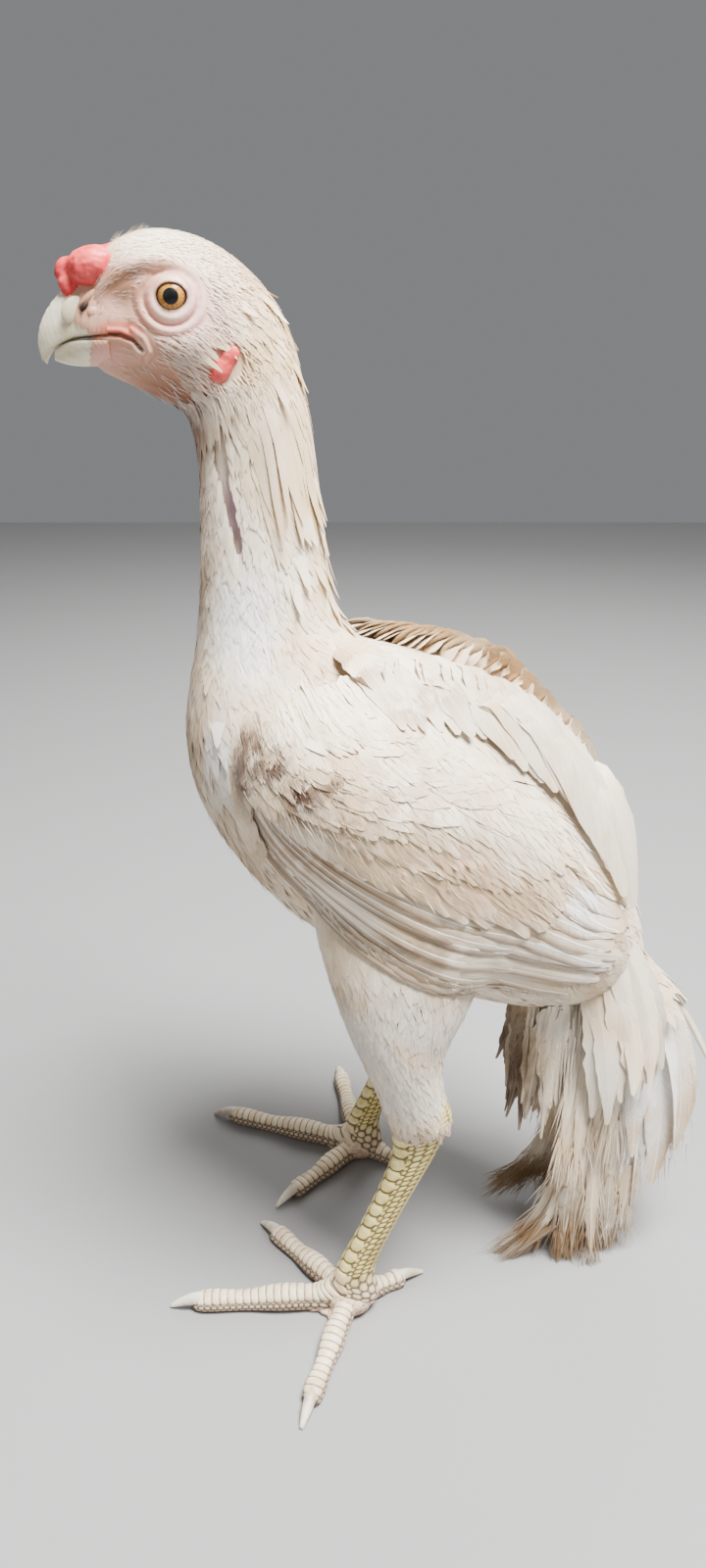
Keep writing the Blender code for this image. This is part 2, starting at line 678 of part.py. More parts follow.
def make_claw(name, start, way, across, radius):
    """A blunt curved claw that bends down to the floor."""
    rings = []
    for share in CLAW_SHARES:
        size = radius * CLAW_ROOT_SHARE * (1 - CLAW_TAPER * share)
        height = radius * CLAW_HEIGHT_SHARE * (1 - share**1.7) + size * 0.9
        centre = start + way * (GAP + (CLAW_LENGTH - GAP) * share) + Vector((0, 0, height))
        ring = []
        for i in range(CLAW_SIDES):
            angle = 2 * math.pi * (i + 0.5) / CLAW_SIDES
            point = centre + across * math.cos(angle) * size * 0.8
            point.z = max(point.z + math.sin(angle) * size, 0.0)
            ring.append(point)
        rings.append(ring)
    bm = bmesh.new()
    skin_rings(bm, rings)
    return new_object(name, mesh_from(bm, name), bird, claw_horn)


def bezier(path, share):
    a, b, c = (Vector(p) for p in path)
    return a * (1 - share) ** 2 + b * 2 * share * (1 - share) + c * share**2


def bezier_way(path, share):
    a, b, c = (Vector(p) for p in path)
    return ((b - a) * (1 - share) + (c - b) * share).normalized()


def vane(name, place, thick, shares=VANE_SHARES, widths=VANE_WIDTHS):
    """A feather vane. place(u, v) gives a point of its under face, and thick is the step
    to its upper face."""
    bm = bmesh.new()
    bmesh.ops.create_grid(bm, x_segments=2, y_segments=len(shares) - 1, size=1.0)
    bmesh.ops.triangulate(bm, faces=bm.faces, quad_method="FIXED")
    columns = sorted({round(v.co.x, 3) for v in bm.verts})
    rows = sorted({round(v.co.y, 3) for v in bm.verts})
    for v in bm.verts:
        i = min(range(len(columns)), key=lambda k: abs(columns[k] - v.co.x))
        j = min(range(len(rows)), key=lambda k: abs(rows[k] - v.co.y))
        v.co = place((i - 1) * widths[j], shares[j])
    made = bmesh.ops.extrude_face_region(bm, geom=list(bm.faces))
    upper = [g for g in made["geom"] if isinstance(g, bmesh.types.BMVert)]
    bmesh.ops.translate(bm, verts=upper, vec=thick)
    bmesh.ops.recalc_face_normals(bm, faces=bm.faces)
    return helper(name, mesh_from(bm, name))


def torso_side(x, z):
    """How far the torso reaches sideways at a place on the bird's side."""
    before = None
    for place in np.linspace(0, len(TORSO_STATIONS) - 1, 55):
        row = body_row(place)
        belly, back = Vector((row[2], row[3])), Vector((row[0], row[1]))
        line, offset = back - belly, Vector((x, z)) - belly
        turn = line.cross(offset)
        if before is not None and turn * before <= 0:
            share = 2 * offset.dot(line) / line.length_squared - 1
            return row[4] * math.sqrt(max(0.0, 1 - share**2))
        before = turn
    return 0.0


def lie(x, z):
    """How far out from the middle plane the folded wing lies."""
    return (torso_side(x, z) ** 3 + LIE_SOFTNESS**3) ** (1 / 3)


def wing_vanes(side):
    pieces = []
    for label, count, half_width, root_height, tip_height, first, last in WING_TIERS:
        for i in range(count):
            share = i / (count - 1)
            path = [
                Vector(a).lerp(Vector(b), share) + Vector((jitter(WING_CHANCE), jitter(WING_CHANCE)))
                for a, b in zip(first, last)
            ]
            width = half_width * (1 + jitter(WING_WIDTH_CHANCE))

            def place(u, v, path=path, width=width, low=root_height, high=tip_height):
                centre = bezier(path, v)
                way = bezier_way(path, v)
                across = Vector((way.y, -way.x))
                spot = centre + across * u * width
                height = low + (high - low) * v + SHINGLE * u
                out = lie(centre.x, centre.y) * LIE_BLEND + lie(spot.x, spot.y) * (1 - LIE_BLEND)
                return Vector((spot.x, side * (out + height), spot.y))

            pieces.append(vane(label, place, Vector((0, side * VANE_THICKNESS, 0))))
    return pieces


def jitter(size):
    return draw.uniform(-size, size)


def make_wing(side, name, torso, thigh):
    """The folded arm with its tiers of coverts, secondaries and primaries."""
    mesh = ellipsoid(
        f"wing_{name}", side_point(ARM_CENTRE, 0.0, side), ARM_SIZE, slope=ARM_SLOPE, rings=10, segments=14
    )
    for v in mesh.vertices:
        v.co.y += side * lie(v.co.x, v.co.z)
    wing = new_object(f"wing_{name}", mesh, bird, feather_white)
    apply_boolean(wing, "UNION", wing_vanes(side))
    cut_clear(wing, torso, thigh)


def make_tail(torso):
    """Tail stump with its drooping fan of vanes, the lowest of which lie on the floor."""
    tail = new_object(
        "tail", loft("tail", TAIL_STUMP_STATIONS, BODY_SIDES, 2), bird, feather_white
    )
    pieces = []
    for side in (-1, 1):
        for half_width, root, bend, tip in TAIL_VANES:
            shorter, spread = (1.0, 1.0) if side < 0 else (TAIL_RIGHT_SHORTER, TAIL_RIGHT_SPREAD)
            mirror = Vector((1, -side * spread, 1))
            path = [Vector(p) * mirror for p in (root, bend, tip)]
            path[2] = path[1] + (path[2] - path[1]) * shorter
            pieces.append(tail_vane(path, half_width, side))
    half_width, *path = SICKLE
    pieces.append(tail_vane([Vector(p) for p in path], half_width, -1))
    apply_boolean(tail, "UNION", pieces)
    cut_clear(tail, torso)
    floor_cut(tail)


def tail_vane(path, half_width, side):
    out = Vector((0.25, side, 0)).normalized()

    def place(u, v):
        way = bezier_way(path, v)
        across = way.cross(out).normalized()
        return bezier(path, v) + across * u * half_width - out * abs(u) * VANE_EDGE_DROP

    return vane("tail_vane", place, out * VANE_THICKNESS)


draw = random.Random(SEED)
clear_scene()
bird = bpy.data.collections.new("aseel_rooster")
cutters = bpy.data.collections.new("cutters")
for collection in (bird, cutters):
    bpy.context.scene.collection.children.link(collection)

feather_white = make_material("feather_white", (0.86, 0.82, 0.76), 0.8)
feather_cream = make_material("feather_cream", (0.80, 0.72, 0.60), 0.8)
face_skin = make_material("face_skin", (0.82, 0.62, 0.55), 0.6)
comb_red = make_material("comb_red", (0.80, 0.18, 0.16), 0.5)
horn = make_material("horn", (0.86, 0.83, 0.72), 0.35)
eye_amber = make_material("eye_amber", (0.55, 0.36, 0.12), 0.1)
shank_yellow = make_material("shank_yellow", (0.78, 0.68, 0.38), 0.5)
toe_cream = make_material("toe_cream", (0.76, 0.68, 0.56), 0.55)
claw_horn = make_material("claw_horn", (0.82, 0.80, 0.74), 0.4)

torso, neck, head = make_body()
make_face(head)
thigh_left = make_leg(-1, "left", torso, PAD_LEFT, TOES_LEFT)
thigh_right = make_leg(1, "right", torso, PAD_RIGHT, TOES_RIGHT)
make_wing(-1, "left", torso, thigh_left)
make_wing(1, "right", torso, thigh_right)
make_tail(torso)
for obj in bird.objects:
    shade(obj)
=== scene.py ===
# Aseel rooster, life size: skin, plumage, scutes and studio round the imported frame.
import math

import bmesh
import bpy
import numpy as np
from mathutils import Matrix, Vector, noise


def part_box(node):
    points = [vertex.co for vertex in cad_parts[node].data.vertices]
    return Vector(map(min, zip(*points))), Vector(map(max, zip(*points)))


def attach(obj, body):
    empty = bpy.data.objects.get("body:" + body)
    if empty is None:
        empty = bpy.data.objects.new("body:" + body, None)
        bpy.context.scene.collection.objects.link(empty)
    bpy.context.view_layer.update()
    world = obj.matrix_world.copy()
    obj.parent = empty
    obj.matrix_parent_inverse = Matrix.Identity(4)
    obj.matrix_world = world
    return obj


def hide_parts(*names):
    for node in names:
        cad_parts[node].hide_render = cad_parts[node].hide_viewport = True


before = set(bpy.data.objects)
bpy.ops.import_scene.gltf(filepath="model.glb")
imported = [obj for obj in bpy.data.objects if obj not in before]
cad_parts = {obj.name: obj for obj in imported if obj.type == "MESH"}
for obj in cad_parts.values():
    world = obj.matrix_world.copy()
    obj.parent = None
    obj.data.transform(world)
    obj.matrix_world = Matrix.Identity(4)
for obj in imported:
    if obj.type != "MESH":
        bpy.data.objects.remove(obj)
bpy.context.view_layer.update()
rng = np.random.default_rng(4)
print("frame loaded")

camera = {"place": (-0.04, -0.583, 0.55), "tilt": 22, "lens": 25.45, "sensor": 36}

studio = {
    "floorSize": 3.0,
    "floorColour": (0.27, 0.266, 0.262),
    "skyColour": (0.94, 0.96, 1.0),
    "skyStrength": 0.24,
    "lights": [  # place, aim, size, watts
        ((0.42, -0.40, 1.95), (0.0, 0.0, 0.30), 0.8, 212),
        ((-1.2, -1.2, 1.1), (0.0, 0.0, 0.30), 1.4, 5),
        ((0.3, 1.4, 1.5), (0.0, 0.0, 0.35), 1.2, 24),
    ],
}


def makeCamera(facts):
    lens = bpy.data.cameras.new("photoCamera")
    lens.sensor_fit = "AUTO"
    lens.sensor_width = facts["sensor"]
    lens.lens = facts["lens"]
    lens.clip_start = 0.01
    eye = bpy.data.objects.new("photoCamera", lens)
    eye.location = facts["place"]
    eye.rotation_euler = (math.radians(90 - facts["tilt"]), 0, 0)
    bpy.context.scene.collection.objects.link(eye)
    bpy.context.scene.camera = eye


makeCamera(camera)
print("camera placed")


# The bird's own form. A body row is (back x, back z, belly x, belly z, half width), from the tail
# root forward to the face. A leg row is (front x, front z, rear x, rear z, half width, y).
birdForm = {
    "body": [
        (0.1330, 0.2080, 0.1130, 0.1830, 0.0200),
        (0.1300, 0.2290, 0.0900, 0.1780, 0.0350),
        (0.1210, 0.2540, 0.0520, 0.1790, 0.0490),
        (0.1060, 0.2830, 0.0030, 0.1930, 0.0590),
        (0.0860, 0.3130, -0.0420, 0.2150, 0.0650),
        (0.0640, 0.3410, -0.0810, 0.2450, 0.0690),
        (0.0400, 0.3650, -0.1090, 0.2780, 0.0690),
        (0.0140, 0.3830, -0.1270, 0.3130, 0.0640),
        (-0.0130, 0.3920, -0.1320, 0.3450, 0.0530),
        (-0.0350, 0.3980, -0.1290, 0.3730, 0.0400),
        (-0.0480, 0.4120, -0.1240, 0.3980, 0.0310),
        (-0.0530, 0.4350, -0.1205, 0.4280, 0.0265),
        (-0.0570, 0.4670, -0.1190, 0.4620, 0.0240),
        (-0.0610, 0.5060, -0.1185, 0.4910, 0.0230),
        (-0.0655, 0.5300, -0.1220, 0.5110, 0.0225),
        (-0.0690, 0.5460, -0.1290, 0.5170, 0.0228),
        (-0.0770, 0.5640, -0.1380, 0.5215, 0.0232),
        (-0.0920, 0.5810, -0.1465, 0.5255, 0.0230),
        (-0.1120, 0.5930, -0.1540, 0.5290, 0.0218),
        (-0.1340, 0.5970, -0.1600, 0.5320, 0.0198),
        (-0.1530, 0.5920, -0.1645, 0.5345, 0.0166),
        (-0.1670, 0.5800, -0.1670, 0.5360, 0.0122),
    ],
    "behindBody": (0.1490, 0.1900, 0.1200, 0.1600, 0.0215),
    "coatDepth": ([0, 9, 13, 15, 17, 19, 21], [0.0045, 0.0045, 0.0030, 0.0018, 0.0009, 0.0003, 0.0]),
    "thigh": [
        (-0.0620, 0.3050, 0.0380, 0.3050, 0.0200, 0.0380),
        (-0.0620, 0.2620, 0.0380, 0.2520, 0.0300, 0.0500),
        (-0.0540, 0.2270, 0.0260, 0.2120, 0.0290, 0.0580),
        (-0.0430, 0.1940, 0.0120, 0.1800, 0.0240, 0.0630),
        (-0.0290, 0.1600, 0.0110, 0.1580, 0.0180, 0.0660),
        (-0.0175, 0.1260, 0.0160, 0.1360, 0.0138, 0.0670),
    ],
    "thighDepth": 0.0035,
}
bodyRows = np.array(birdForm["body"])
thighRows = np.array(birdForm["thigh"])
sides = {"left": -1, "right": 1}
toeNames = ("middle", "outer", "inner", "hind")


def unit(vectors):
    return vectors / np.linalg.norm(vectors, axis=-1, keepdims=True)


def between(rows, place):  # a smooth curve through all rows
    padded = np.vstack([2 * rows[0] - rows[1], rows, 2 * rows[-1] - rows[-2]])
    at = np.clip(np.floor(place).astype(int), 0, len(rows) - 2)
    t = (place - at)[..., None]
    a, b, c, d = (padded[at + k] for k in range(4))
    return 0.5 * (2 * b + (c - a) * t + (2 * a - 5 * b + 4 * c - d) * t**2 + (3 * b - a - 3 * c + d) * t**3)


def aroundSection(row, angle, lift, middle, across):  # angle 0 is the side, 90 degrees is back or front
    up, down = row[..., 0:2], row[..., 2:4]
    reach = np.zeros(row.shape[:-1] + (3,))
    reach[..., 0::2] = (up - down) / 2
    point = np.zeros_like(reach)
    point[..., 0::2] = (up + down) / 2
    point[..., 1] = middle
    side = np.zeros_like(reach)
    side[..., 1] = across
    length = np.linalg.norm(reach, axis=-1, keepdims=True)
    width = row[..., 4:5]
    rise, run = np.sin(angle)[..., None], np.cos(angle)[..., None]
    out = unit(reach / length * rise / length + side * run / width)
    return point + reach * rise + side * width * run + out * lift[..., None]


def bodySurface(place, angle, lift):
    place, angle, lift = np.broadcast_arrays(place, angle, lift)
    row = between(bodyRows, np.maximum(place, 0.0))
    behind = np.minimum(place, 0.0)[..., None]
    row = row * (1 + behind) - np.array(birdForm["behindBody"]) * behind
    return aroundSection(row, angle, lift, 0.0, -1.0)


def limbSurface(rows, side):
    def surface(place, angle, lift):
        place, angle, lift = np.broadcast_arrays(place, angle, lift)
        row = between(rows, place)
        return aroundSection(row, angle, lift, side * row[..., 5], side)
    return surface


def coatDepth(place):
    return np.interp(place, *birdForm["coatDepth"])


def sideReach(rows, x, z):  # how far a form reaches sideways at a place on the bird's side
    shape = np.shape(x)
    spot = np.stack([np.ravel(x), np.ravel(z)], -1)
    low, line = rows[:, 2:4], rows[:, 0:2] - rows[:, 2:4]
    offset = spot[:, None] - low[None]
    turn = line[None, :, 0] * offset[..., 1] - line[None, :, 1] * offset[..., 0]
    crossed = turn[:, :-1] * turn[:, 1:] <= 0
    k = crossed.argmax(1) + 1
    pick = np.arange(len(spot))
    share = 2 * (offset[pick, k] * line[k]).sum(-1) / (line[k] ** 2).sum(-1) - 1
    reach = rows[k, 4] * np.sqrt(np.maximum(0.0, 1 - share**2))
    middle = rows[k, 5] if rows.shape[1] > 5 else 0.0
    return np.where(crossed.any(1) & (np.abs(share) < 1), reach + middle, 0.0).reshape(shape)


torsoLines = between(bodyRows, np.linspace(0, 9, 80))
thighLines = between(thighRows, np.linspace(0, 5, 50))


wingForm = {
    "softness": 0.034,
    "arm": (-0.0450, 0.3350),
    "slope": 36,
    "flatHeight": 0.0030,
    "armHeight": 0.0170,
    "spread": (0.058, 0.090, 0.054, 0.050),  # ahead of the arm, behind it, above and below
    "blend": 9,
    "shingle": 0.0009,
    "rise": 0.0009,
}


def armPlace(x, z):  # distance along the folded wing and across it, from the middle of the arm
    turn = math.radians(wingForm["slope"])
    dx, dz = x - wingForm["arm"][0], z - wingForm["arm"][1]
    return dx * math.cos(turn) - dz * math.sin(turn), dx * math.sin(turn) + dz * math.cos(turn)


def wingLie(x, z):  # a soft outer form of body and thigh together
    body = (sideReach(torsoLines, x, z) ** 3 + wingForm["softness"] ** 3) ** (1 / 3)
    thigh = sideReach(thighLines, x, z) * 0.965
    power = wingForm["blend"]
    return (body**power + thigh**power) ** (1 / power)


def armBulge(x, z):  # a cushion with a round edge in front and below that runs out to the rear
    along, across = armPlace(x, z)
    ahead, behind, above, below = wingForm["spread"]
    reach = (np.minimum(along, 0) / ahead) ** 2 + (across / np.where(across > 0, above, below)) ** 2
    return np.maximum(0.0, 1 - reach) ** 0.5 * np.exp(-((np.maximum(along, 0) / behind) ** 2))


def wingSurface(x, z, lift, side):
    out = wingLie(x, z) + wingForm["flatHeight"] + wingForm["armHeight"] * armBulge(x, z) + lift
    return np.stack([x, side * out, z], -1)


# Small makers
def finish(mesh, name, *materials, smooth=50):
    mesh.name = name
    obj = bpy.data.objects.new(name, mesh)
    bpy.context.scene.collection.objects.link(obj)
    for material in materials:
        mesh.materials.append(material)
    mesh.shade_smooth()
    if smooth:
        mesh.set_sharp_from_angle(angle=math.radians(smooth))
    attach(obj, "root")
    return obj


def flatGrid(rings, around):  # a grid to bend into a tube, with each point's turn and its share along
    bm = bmesh.new()
    bmesh.ops.create_grid(bm, x_segments=around, y_segments=rings, size=1.0)
    flat = np.array([v.co[:2] for v in bm.verts])
    return bm, (flat[:, 0] + 1) * math.pi, (flat[:, 1] + 1) / 2


def closeTube(bm):
    bmesh.ops.remove_doubles(bm, verts=bm.verts, dist=0.000002)
    bmesh.ops.holes_fill(bm, edges=[e for e in bm.edges if e.is_boundary])
    bmesh.ops.recalc_face_normals(bm, faces=bm.faces)


def gridTube(rings, around, pointAt):
    bm, turn, along = flatGrid(rings, around)
    for vert, spot in zip(bm.verts, pointAt(along, turn)):
        vert.co = spot
    closeTube(bm)
    return bm


def toMesh(bm, name):
    mesh = bpy.data.meshes.new(name)
    bm.to_mesh(mesh)
    bm.free()
    return mesh


def setLayer(mesh, name, values):  # one number or vector on each vertex
    kind = "FLOAT" if values.ndim == 1 else "FLOAT_VECTOR"
    layer = mesh.attributes.new(name, kind, "POINT")
    layer.data.foreach_set("value" if kind == "FLOAT" else "vector", np.ravel(values).astype(np.float32))


def setMap(mesh, name, perVertex):
    corner = np.empty(len(mesh.loops), np.int32)
    mesh.loops.foreach_get("vertex_index", corner)
    layer = mesh.uv_layers.new(name=name)
    layer.data.foreach_set("uv", perVertex[corner].astype(np.float32).ravel())


# Shader helpers
def feed(tree, node, inputs):  # a value goes to its socket, and another node's socket is linked to it
    for key, value in inputs.items():
        if isinstance(value, bpy.types.NodeSocket):
            tree.links.new(value, node.inputs[key])
        else:
            node.inputs[key].default_value = value
    return node


def add(tree, kind, inputs=None, **settings):
    node = tree.nodes.new("ShaderNode" + kind)
    for key, value in settings.items():
        setattr(node, key, value)
    return feed(tree, node, inputs or {})


def mixColour(tree, share, a, b, blend="MIX"):
    return add(tree, "Mix", {0: share, 6: a, 7: b}, data_type="RGBA", blend_type=blend).outputs[2]


def sums(tree, what, a, b=0.0):
    return add(tree, "Math", {0: a, 1: b}, operation=what).outputs[0]


def times(tree, a, b):
    return sums(tree, "MULTIPLY", a, b)


def objectPlace(tree):
    return add(tree, "TexCoord").outputs["Object"]


def layerOf(tree, name):
    return add(tree, "Attribute", attribute_name=name).outputs["Fac"]


def foldSides(tree, vector):  # the same marks on both sides of the bird
    split = add(tree, "SeparateXYZ", {0: vector}).outputs
    return add(tree, "CombineXYZ", {0: split[0], 1: sums(tree, "ABSOLUTE", split[1]), 2: split[2]}).outputs[0]


def ease(tree, value, low, high, bottom=0.0, top=1.0):
    wants = {"Value": value, "From Min": low, "From Max": high, "To Min": bottom, "To Max": top}
    return add(tree, "MapRange", wants, interpolation_type="SMOOTHSTEP").outputs[0]


def grain(tree, vector, scale, detail=3.0, rough=0.55):
    wants = {"Vector": vector, "Scale": scale, "Detail": detail, "Roughness": rough}
    return add(tree, "TexNoise", wants).outputs[0]


def makeGroup(name, inputs, outputs):
    tree = bpy.data.node_groups.new(name, "ShaderNodeTree")
    for label, kind in inputs:
        tree.interface.new_socket(label, in_out="INPUT", socket_type="NodeSocket" + kind)
    for label, kind in outputs:
        tree.interface.new_socket(label, in_out="OUTPUT", socket_type="NodeSocket" + kind)
    return tree, tree.nodes.new("NodeGroupInput"), tree.nodes.new("NodeGroupOutput")


def useGroup(tree, group, inputs):
    node = tree.nodes.new("ShaderNodeGroup")
    node.node_tree = group
    return feed(tree, node, inputs)


def newMaterial(name, **constants):
    material = bpy.data.materials.new(name)
    material.use_nodes = True
    tree = material.node_tree
    shader = tree.nodes["Principled BSDF"]
    for key, value in constants.items():
        shader.inputs[key.replace("_", " ")].default_value = value
    return material, tree, shader


def finishMaterial(made, colour, height, strength, depth):
    material, tree, shader = made
    bumped = add(tree, "Bump", {"Strength": strength, "Distance": depth, "Height": height})
    feed(tree, shader, {"Base Color": colour, "Normal": bumped.outputs[0]})
    return material


def rgb(red, green, blue):  # display values to linear
    levels = (red, green, blue)
    return tuple(((c / 255 + 0.055) / 1.055) ** 2.4 if c > 10 else c / 3295 for c in levels) + (1.0,)


def softSpotGroup():
    tree, into, out = makeGroup(
        "softSpot", [("Place", "Vector"), ("Centre", "Vector"), ("Size", "Vector")], [("Mask", "Float")]
    )
    away = add(tree, "VectorMath", {0: into.outputs[0], 1: into.outputs[1]}, operation="SUBTRACT").outputs[0]
    scaled = add(tree, "VectorMath", {0: away, 1: into.outputs[2]}, operation="DIVIDE").outputs[0]
    length = add(tree, "VectorMath", {0: scaled}, operation="LENGTH").outputs["Value"]
    tree.links.new(ease(tree, length, 1.0, 0.25), out.inputs[0])
    return tree


softSpot = softSpotGroup()

# A patch is (colour, centre, size, strength, grain scale, how broken up), on both sides of the bird; some
# patches hold painted shade, as the notes beside them say
plumagePatches = {
    "ground": rgb(220, 194, 158),
    "pale": rgb(240, 226, 204),
    "patches": [
        (rgb(206, 170, 116), (-0.070, 0.000, 0.548), (0.050, 0.060, 0.066), 0.85, 60, 0.15),
        (rgb(206, 174, 120), (-0.054, 0.000, 0.480), (0.030, 0.034, 0.110), 0.80, 90, 0.36),
        # front of the neck: a brown strip, partly the feathers' own tone and partly painted shade
        (rgb(158, 124, 90), (-0.121, 0.000, 0.446), (0.018, 0.034, 0.100), 0.90, 80, 0.42),
        # throat: dark brown, partly its own brownish skin and feathers and partly painted shade under the
        # head
        (rgb(128, 88, 68), (-0.120, 0.000, 0.508), (0.030, 0.030, 0.028), 0.95, 120, 0.10),
        (rgb(176, 144, 106), (-0.128, 0.010, 0.362), (0.024, 0.040, 0.056), 0.70, 110, 0.36),
        # belly and the underside between the legs, these two: partly the feathers' own tone, partly painted
        # shade under the body
        (rgb(168, 136, 102), (-0.104, 0.010, 0.292), (0.040, 0.060, 0.048), 0.75, 110, 0.30),
        (rgb(172, 156, 138), (-0.030, 0.000, 0.200), (0.090, 0.060, 0.060), 0.70, 60, 0.20),
        (rgb(250, 248, 247), (-0.094, 0.026, 0.418), (0.026, 0.034, 0.044), 0.90, 60, 0.10),
        (rgb(160, 124, 88), (-0.062, 0.080, 0.304), (0.040, 0.050, 0.022), 0.75, 90, 0.30),
        (rgb(188, 158, 124), (-0.074, 0.085, 0.350), (0.036, 0.060, 0.036), 0.75, 95, 0.50),
        (rgb(196, 166, 132), (-0.030, 0.085, 0.336), (0.040, 0.060, 0.030), 0.65, 75, 0.60),
        (rgb(194, 160, 122), (0.010, 0.084, 0.298), (0.060, 0.050, 0.040), 0.80, 45, 0.40),
        (rgb(196, 164, 128), (0.045, 0.084, 0.280), (0.040, 0.050, 0.036), 0.75, 45, 0.40),
        (rgb(204, 180, 154), (0.010, 0.070, 0.345), (0.060, 0.040, 0.026), 0.40, 90, 0.55),
        (rgb(160, 122, 78), (-0.092, 0.000, 0.508), (0.024, 0.040, 0.034), 0.80, 90, 0.20),
        # these two: painted shadow in the crease between the base of the neck and the top of the wing
        (rgb(140, 104, 74), (-0.052, 0.060, 0.3950), (0.042, 0.050, 0.009), 0.85, 110, 0.36),
        (rgb(150, 114, 84), (-0.010, 0.060, 0.3860), (0.034, 0.040, 0.009), 0.75, 110, 0.42),
        (rgb(64, 36, 20), (-0.0800, 0.080, 0.3580), (0.0130, 0.060, 0.0150), 0.98, 210, 0.34),
        # just behind the wing's front edge: a dark band, partly brown feathers and partly painted shade on
        # the edge that faces away from the lamp
        (rgb(92, 60, 38), (-0.0950, 0.080, 0.3500), (0.0090, 0.060, 0.0300), 0.95, 160, 0.22),
        (rgb(64, 36, 20), (-0.0650, 0.080, 0.3440), (0.0140, 0.060, 0.0140), 0.98, 210, 0.36),
        (rgb(84, 54, 34), (-0.0900, 0.080, 0.3600), (0.0130, 0.060, 0.0200), 0.90, 210, 0.55),
        (rgb(82, 52, 34), (-0.0500, 0.080, 0.3510), (0.0120, 0.060, 0.0110), 0.95, 210, 0.48),
        (rgb(128, 92, 62), (-0.0480, 0.080, 0.3320), (0.0160, 0.060, 0.0160), 0.80, 190, 0.55),
        (rgb(250, 248, 245), (0.080, 0.060, 0.270), (0.017, 0.060, 0.022), 0.95, 30, 0.02),
        (rgb(150, 108, 66), (0.108, 0.050, 0.258), (0.013, 0.050, 0.030), 0.85, 120, 0.45),
        (rgb(196, 166, 128), (-0.020, 0.078, 0.228), (0.090, 0.050, 0.016), 0.80, 60, 0.30),
        (rgb(250, 248, 246), (-0.112, 0.050, 0.350), (0.013, 0.040, 0.036), 0.90, 30, 0.02),
        (rgb(208, 202, 196), (-0.016, 0.075, 0.206), (0.060, 0.050, 0.050), 0.80, 50, 0.20),
        (rgb(150, 128, 106), (-0.012, 0.084, 0.262), (0.036, 0.040, 0.015), 0.75, 90, 0.30),
        (rgb(250, 247, 242), (0.078, 0.060, 0.235), (0.032, 0.040, 0.014), 0.90, 40, 0.10),
        (rgb(206, 200, 194), (-0.020, 0.070, 0.160), (0.050, 0.050, 0.026), 0.60, 60, 0.20),
        (rgb(112, 76, 46), (0.004, 0.067, 0.128), (0.032, 0.040, 0.018), 0.95, 130, 0.20),
        (rgb(206, 188, 160), (0.104, 0.030, 0.120), (0.026, 0.060, 0.060), 0.60, 50, 0.30),
        (rgb(236, 226, 210), (0.100, 0.034, 0.160), (0.034, 0.040, 0.028), 0.80, 50, 0.30),
        (rgb(108, 80, 48), (0.078, 0.030, 0.014), (0.040, 0.050, 0.030), 0.85, 90, 0.25),
        (rgb(246, 243, 240), (0.142, 0.020, 0.120), (0.030, 0.050, 0.080), 0.90, 50, 0.10),
        (rgb(160, 122, 78), (0.158, 0.030, 0.070), (0.014, 0.060, 0.034), 0.70, 90, 0.35),
        (rgb(118, 80, 18), (0.092, 0.030, 0.000), (0.080, 0.090, 0.062), 0.95, 60, 0.20),
        # under the tail behind the legs: dark brown, partly the fluff's own colour and partly painted shade
        (rgb(78, 56, 40), (0.054, 0.030, 0.110), (0.036, 0.060, 0.090), 0.96, 50, 0.10),
    ],
}


def plumageGroup(facts):
    tree, into, out = makeGroup("plumageMarks", [("Place", "Vector")], [("Colour", "Color")])
    folded = foldSides(tree, into.outputs[0])
    cloud = ease(tree, grain(tree, into.outputs[0], 26), 0.35, 0.60)
    colour = mixColour(tree, cloud, facts["ground"], facts["pale"])
    for shade, centre, size, strength, scale, broken in facts["patches"]:
        spot = useGroup(tree, softSpot, {"Place": folded, "Centre": centre, "Size": size}).outputs[0]
        speckle = grain(tree, into.outputs[0], scale, 2.0)
        low = 0.22 + 0.36 * broken
        mask = times(tree, spot, ease(tree, speckle, low, low + 0.20 * (1.2 - broken)))
        colour = mixColour(tree, times(tree, mask, strength), colour, shade)
    tree.links.new(colour, out.inputs[0])
    return tree


plumageMarks = plumageGroup(plumagePatches)


def barbGroup():  # fine barbs that slant away from the shaft, from a vane's own map
    tree, into, out = makeGroup(
        "featherBarbs",
        [("Map", "Vector")] + [(name, "Float") for name in ("Seed", "Barbs", "Slant", "Shaft place")],
        [("Height", "Float"), ("Shaft", "Float"), ("Streak", "Float")],
    )
    split = add(tree, "SeparateXYZ", {0: into.outputs[0]})
    side = sums(tree, "ABSOLUTE", sums(tree, "SUBTRACT", split.outputs[0], into.outputs[4]))
    slant = sums(tree, "SUBTRACT", split.outputs[1], times(tree, side, into.outputs[3]))
    along = times(tree, slant, into.outputs[2])
    seed = times(tree, into.outputs[1], 40.0)
    onBarb = add(tree, "CombineXYZ", {0: along, 1: seed, 2: times(tree, side, 3.0)}).outputs[0]
    streak = grain(tree, onBarb, 1.0, 3.0, 0.7)
    shaft = ease(tree, side, 0.034, 0.014)
    tree.links.new(sums(tree, "ADD", streak, times(tree, shaft, 0.6)), out.inputs[0])
    tree.links.new(shaft, out.inputs[1])
    tree.links.new(streak, out.inputs[2])
    return tree


featherBarbs = barbGroup()


